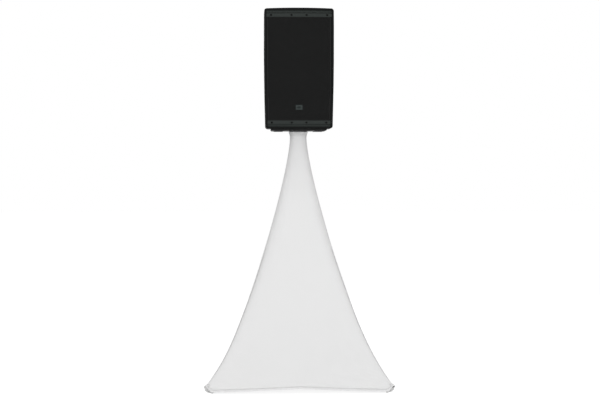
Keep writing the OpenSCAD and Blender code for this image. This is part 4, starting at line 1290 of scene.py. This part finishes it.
    def neck(self) -> bpy.types.Object:
        """Makes the upper cloth, from the join up to the elastic under the loudspeaker."""
        half = self.half_columns()
        sector = np.concatenate([half, 120 - half[-2:0:-1]])
        columns = np.concatenate([90 + k * 120 + sector for k in range(3)])
        heights = np.concatenate(
            [
                np.linspace(self.top, self.top - 0.06, 22),
                np.linspace(self.top - 0.065, self.join, 60),
            ]
        )
        angle, z = np.meshgrid(columns, heights)
        sheet = self.shell(angle, z, "neck", wrap=True)
        ring = np.linspace(90.0, 450.0, 720)
        for drop in (0.006, 0.016):
            self.stitches(sheet, ring, np.full(720, self.top - drop))
        piece = sheet.build("cover_neck", [self.paint.get("knit"), self.paint.get("thread")])
        area = self.area(angle, z, wrap=True)
        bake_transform(piece)
        return piece

    def half_columns(self) -> np.ndarray:
        """Directions away from a ridge, close together on the ridge and over the pocket."""
        return np.concatenate(
            [
                [0.0, 0.2, 0.4, 0.6, 0.85, 1.1, 1.4, 1.7, 2.0, 2.3, 2.6, 2.9, 3.2, 3.6, 4.0, 4.6],
                [5.2, 6.0, 7.0, 8.0, 9.2, 10.5, 12.0],
                np.arange(14.0, 61.0, 2.0),
            ]
        )

    def panel(self, gore: Gore) -> bpy.types.Object:
        """Makes one lower panel, from the join down to the floor, round its leg's foot."""
        body, ridge = gore.value
        half = self.half_columns()
        columns = ridge + np.concatenate([-half[:0:-1], half])
        away = np.abs(columns - ridge)
        offsets = np.concatenate(
            [
                [0.0, 0.001, 0.004, 0.008, 0.0115, 0.0128, 0.0136, 0.0144, 0.0155, 0.018, 0.022],
                [0.027, 0.033, 0.040, 0.048, 0.057, 0.067, 0.078, 0.090, 0.103, 0.117],
                np.linspace(0.133, self.skirt, 46),
            ]
        )[::-1]
        hem = self.hem_height(away)
        z = hem + offsets[:, None] * (self.join - hem) / self.skirt
        angle = np.broadcast_to(columns, z.shape)
        sheet = self.shell(angle, z, body, wrap=False)
        line = ridge + np.linspace(-60, 60, 900)
        base = self.hem_height(np.abs(line - ridge))
        for up in (0.0125, 0.0098):
            self.stitches(sheet, line, base + up * (self.join - base) / self.skirt)
        rise = np.linspace(0.075, self.join, 300)
        for aside in (-0.0024, 0.0024):
            turn = np.degrees(aside / self.ridge(rise))
            self.stitches(sheet, ridge + turn, rise)
        self.cap(sheet, ridge, self.OPEN[gore])
        piece = sheet.build(
            f"cover_panel_{gore.name.lower()}", [self.paint.get("knit"), self.paint.get("thread")]
        )
        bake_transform(piece)
        area = self.area(angle, z, wrap=False)
        return piece

    def area(self, angle: np.ndarray, z: np.ndarray, wrap: bool) -> float:
        """The area of a grid of cloth, in square metres."""
        p = self.surface(angle, z)
        if wrap:
            p = np.concatenate([p, p[:, :1]], 1)
        a, b = p[1:, :-1] - p[:-1, :-1], p[:-1, 1:] - p[:-1, :-1]
        c, d = p[1:, :-1] - p[1:, 1:], p[:-1, 1:] - p[1:, 1:]
        both = np.linalg.norm(np.cross(a, b), axis=-1) + np.linalg.norm(np.cross(c, d), axis=-1)
        return float(both.sum() / 2)

    def cap(self, sheet: Sheet, ridge: float, gap: float) -> None:
        """Closes a foot's pocket with a piece of cloth from the hem down in front of the bell.

        Args:
            sheet: the panel's shell, which the cap becomes part of.
            ridge: direction of the leg in degrees.
            gap: how much of the cap is left open at its top, as a share of its height.
        """
        r = math.radians(ridge)
        out = np.array([math.cos(r), math.sin(r), 0.0])
        side = np.array([-math.sin(r), math.cos(r), 0.0])
        down = out * math.sin(self.lean) - np.array([0, 0, 1.0]) * math.cos(self.lean)
        centre = out * self.bell_x + np.array([0, 0, self.bell_z])
        away = np.linspace(-self.cap_turn, self.cap_turn, 61)
        hem = self.hem_height(np.abs(away))
        angle = ridge + away
        tuck = self.outward(angle, hem) * 0.0004
        start = self.surface(angle, hem) - tuck + np.array([0, 0, 0.0009])
        # the low edge lies on the floor just in front of the bell's face
        across = away / self.cap_turn
        low = 0.0010 + 0.0022 * across**4
        face = (centre[2] - low) / math.cos(self.lean) * math.sin(self.lean)
        reach = np.linalg.norm(centre[:2]) - face + 0.0032 + 0.004 * across**2
        end = out * reach[:, None] + side * (0.0235 * across)[:, None]
        end[:, 2] = low
        steps = np.linspace(0.0, 1.0, 23)
        opening = gap * np.exp(-((away / 1.5) ** 2))
        share = opening + (1 - opening) * steps[:, None]
        belly = 0.0016 * np.sin(np.pi * np.clip(share, 0, 1))
        crinkle = 0.0003 * np.sin(away * 5.0 + share * 4.0) * np.sin(np.pi * share)
        grid = (
            start * (1 - share[..., None])
            + end * share[..., None]
            + down * (belly + crinkle)[..., None]
        )
        normal = unit(np.cross(np.gradient(grid, axis=0), np.gradient(grid, axis=1)))
        turned = bool(normal[len(steps) // 2, len(away) // 2] @ down < 0)
        if turned:
            normal = -normal
        inner = grid - normal * self.cloth
        grid[..., 2] = np.maximum(grid[..., 2], self.lowest)
        inner[..., 2] = np.maximum(inner[..., 2], self.lowest)
        tall, wide = grid.shape[:2]
        count = tall * wide
        quads = grid_faces(tall, wide)
        faces = [q[::-1] if turned else q for q in quads]
        faces += [tuple(v + count for v in (q if turned else q[::-1])) for q in quads]
        border = list(range(wide)) + [i * wide + wide - 1 for i in range(1, tall)]
        border += [(tall - 1) * wide + j for j in range(wide - 2, -1, -1)]
        border += [i * wide for i in range(tall - 2, 0, -1)]
        for a, b in zip(border, border[1:] + border[:1]):
            quad = (a, b, b + count, a + count)
            faces.append(quad[::-1] if turned else quad)
        measure = np.stack(
            np.broadcast_arrays(across * 0.04, share * 0.045), -1
        ).reshape(-1, 2)
        flat = normal.reshape(-1, 3)
        sheet.put(
            np.concatenate([grid.reshape(-1, 3), inner.reshape(-1, 3)]),
            faces,
            0,
            np.concatenate([flat, -flat]),
            np.concatenate([measure, measure]),
        )

    def build(self) -> None:
        """Makes all the cloth and hides the plain solid that stands for it."""
        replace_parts(self.neck(), "cover")
        for gore in Gore:
            self.panel(gore)


# ---- studio ------------------------------------------------------------------------------


@dataclass
class Studio:
    """Floor, lamps, world and camera."""

    distance: float = 8.0
    camera_height: float = 1.2
    azimuth: float = 1.8
    pitch: float = -1.33
    yaw: float = 0.070
    lens: float = 87.95
    floor_size: float = 60.0
    world_light: float = 0.58
    floor_glow: float = 0.90

    def camera(self) -> None:
        """Sets the camera at the height of the neck, far enough to flatten the view."""
        data = bpy.data.cameras.new("camera")
        data.sensor_width = 36.0
        data.lens = self.lens
        data.clip_end = 200.0
        camera = bpy.data.objects.new("camera", data)
        turn = math.radians(self.azimuth)
        camera.location = (
            -self.distance * math.sin(turn),
            -self.distance * math.cos(turn),
            self.camera_height,
        )
        camera.rotation_euler = (
            math.radians(90 + self.pitch),
            0,
            -turn - math.radians(self.yaw),
        )
        bpy.context.scene.collection.objects.link(camera)
        bpy.context.scene.camera = camera

    def floor(self) -> None:
        """Lays a pale floor that keeps the shadow and blends into the white behind."""
        half = self.floor_size / 2
        sheet = Sheet()
        corners = np.array([[-half, -half, 0], [half, -half, 0], [half, half, 0], [-half, half, 0]])
        sheet.put(corners, [(0, 1, 2, 3)])
        net = Net("studio_floor")
        grain = net.noise(3.0, 2.0)
        paint = net.add(
            "ShaderNodeBsdfDiffuse",
            None,
            {"Color": net.blend(grain, (0.80, 0.80, 0.80), (0.82, 0.82, 0.82))},
        )
        thin = net.add(
            "ShaderNodeBsdfDiffuse",
            None,
            {"Color": net.blend(grain, (0.23, 0.23, 0.23), (0.25, 0.25, 0.25))},
        )
        glow = net.add(
            "ShaderNodeEmission", None, {"Color": (1.0, 1.0, 1.0), "Strength": self.floor_glow}
        )
        lit = net.add("ShaderNodeAddShader", None, {0: thin, 1: glow})
        both = net.add("ShaderNodeMixShader", None, {0: net.seen(), 1: paint, 2: lit})
        net.feed(net.output.inputs["Surface"], both)
        floor = sheet.build("floor", [net.material])
        floor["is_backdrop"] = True

    def world(self) -> None:
        """Fills the room with even light, and shows white to the camera and in reflections."""
        net = Net("studio", world=True)
        even = net.add("ShaderNodeBackground", None, {"Strength": self.world_light})
        white = net.add("ShaderNodeBackground", None, {"Color": (1.0, 1.0, 1.0), "Strength": 1.0})
        choice = net.add("ShaderNodeMixShader", None, {0: net.seen(), 1: even, 2: white})
        net.feed(net.output.inputs["Surface"], choice)
        bpy.context.scene.world = net.material

    def lamp(
        self, name: str, place: Sequence[float], aim: Sequence[float], size: float, power: float
    ) -> None:
        """Hangs one soft square lamp."""
        data = bpy.data.lights.new(name, "AREA")
        data.shape = "SQUARE"
        data.size = size
        data.energy = power
        lamp = bpy.data.objects.new(name, data)
        lamp.location = place
        way = Vector(aim) - Vector(place)
        lamp.rotation_euler = way.to_track_quat("-Z", "Y").to_euler()
        bpy.context.scene.collection.objects.link(lamp)

    def build(self) -> None:
        """Sets the whole studio."""
        self.camera()
        self.floor()
        self.world()
        self.lamp("key", (-1.9, -5.2, 2.7), (0, 0, 1.0), 2.4, 90.0)
        self.lamp("fill", (2.4, -5.0, 1.6), (0, 0, 1.0), 2.8, 65.0)
        self.lamp("top", (0.0, -0.4, 5.2), (0, 0, 1.0), 3.0, 34.0)
        self.lamp("back", (0.5, 4.8, 3.0), (0, 0, 1.0), 3.0, 85.0)
        bpy.context.scene.view_settings.view_transform = "Standard"


def main() -> None:
    """Builds the studio, dresses the frame and makes the grille and the cover."""
    logging.basicConfig(level=logging.INFO, format="%(name)s: %(message)s")
    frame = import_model()
    paint = Paintbox(Palette())
    Studio().build()
    speaker = Loudspeaker(paint, frame["nodes"])
    speaker.dress()
    speaker.grille()
    speaker.legends()
    Stand(paint, frame["nodes"]).dress()
    Cover(paint).build()
    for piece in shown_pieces():
        LOG.info("piece %s", piece.name)


if __name__ == "__main__":
    main()
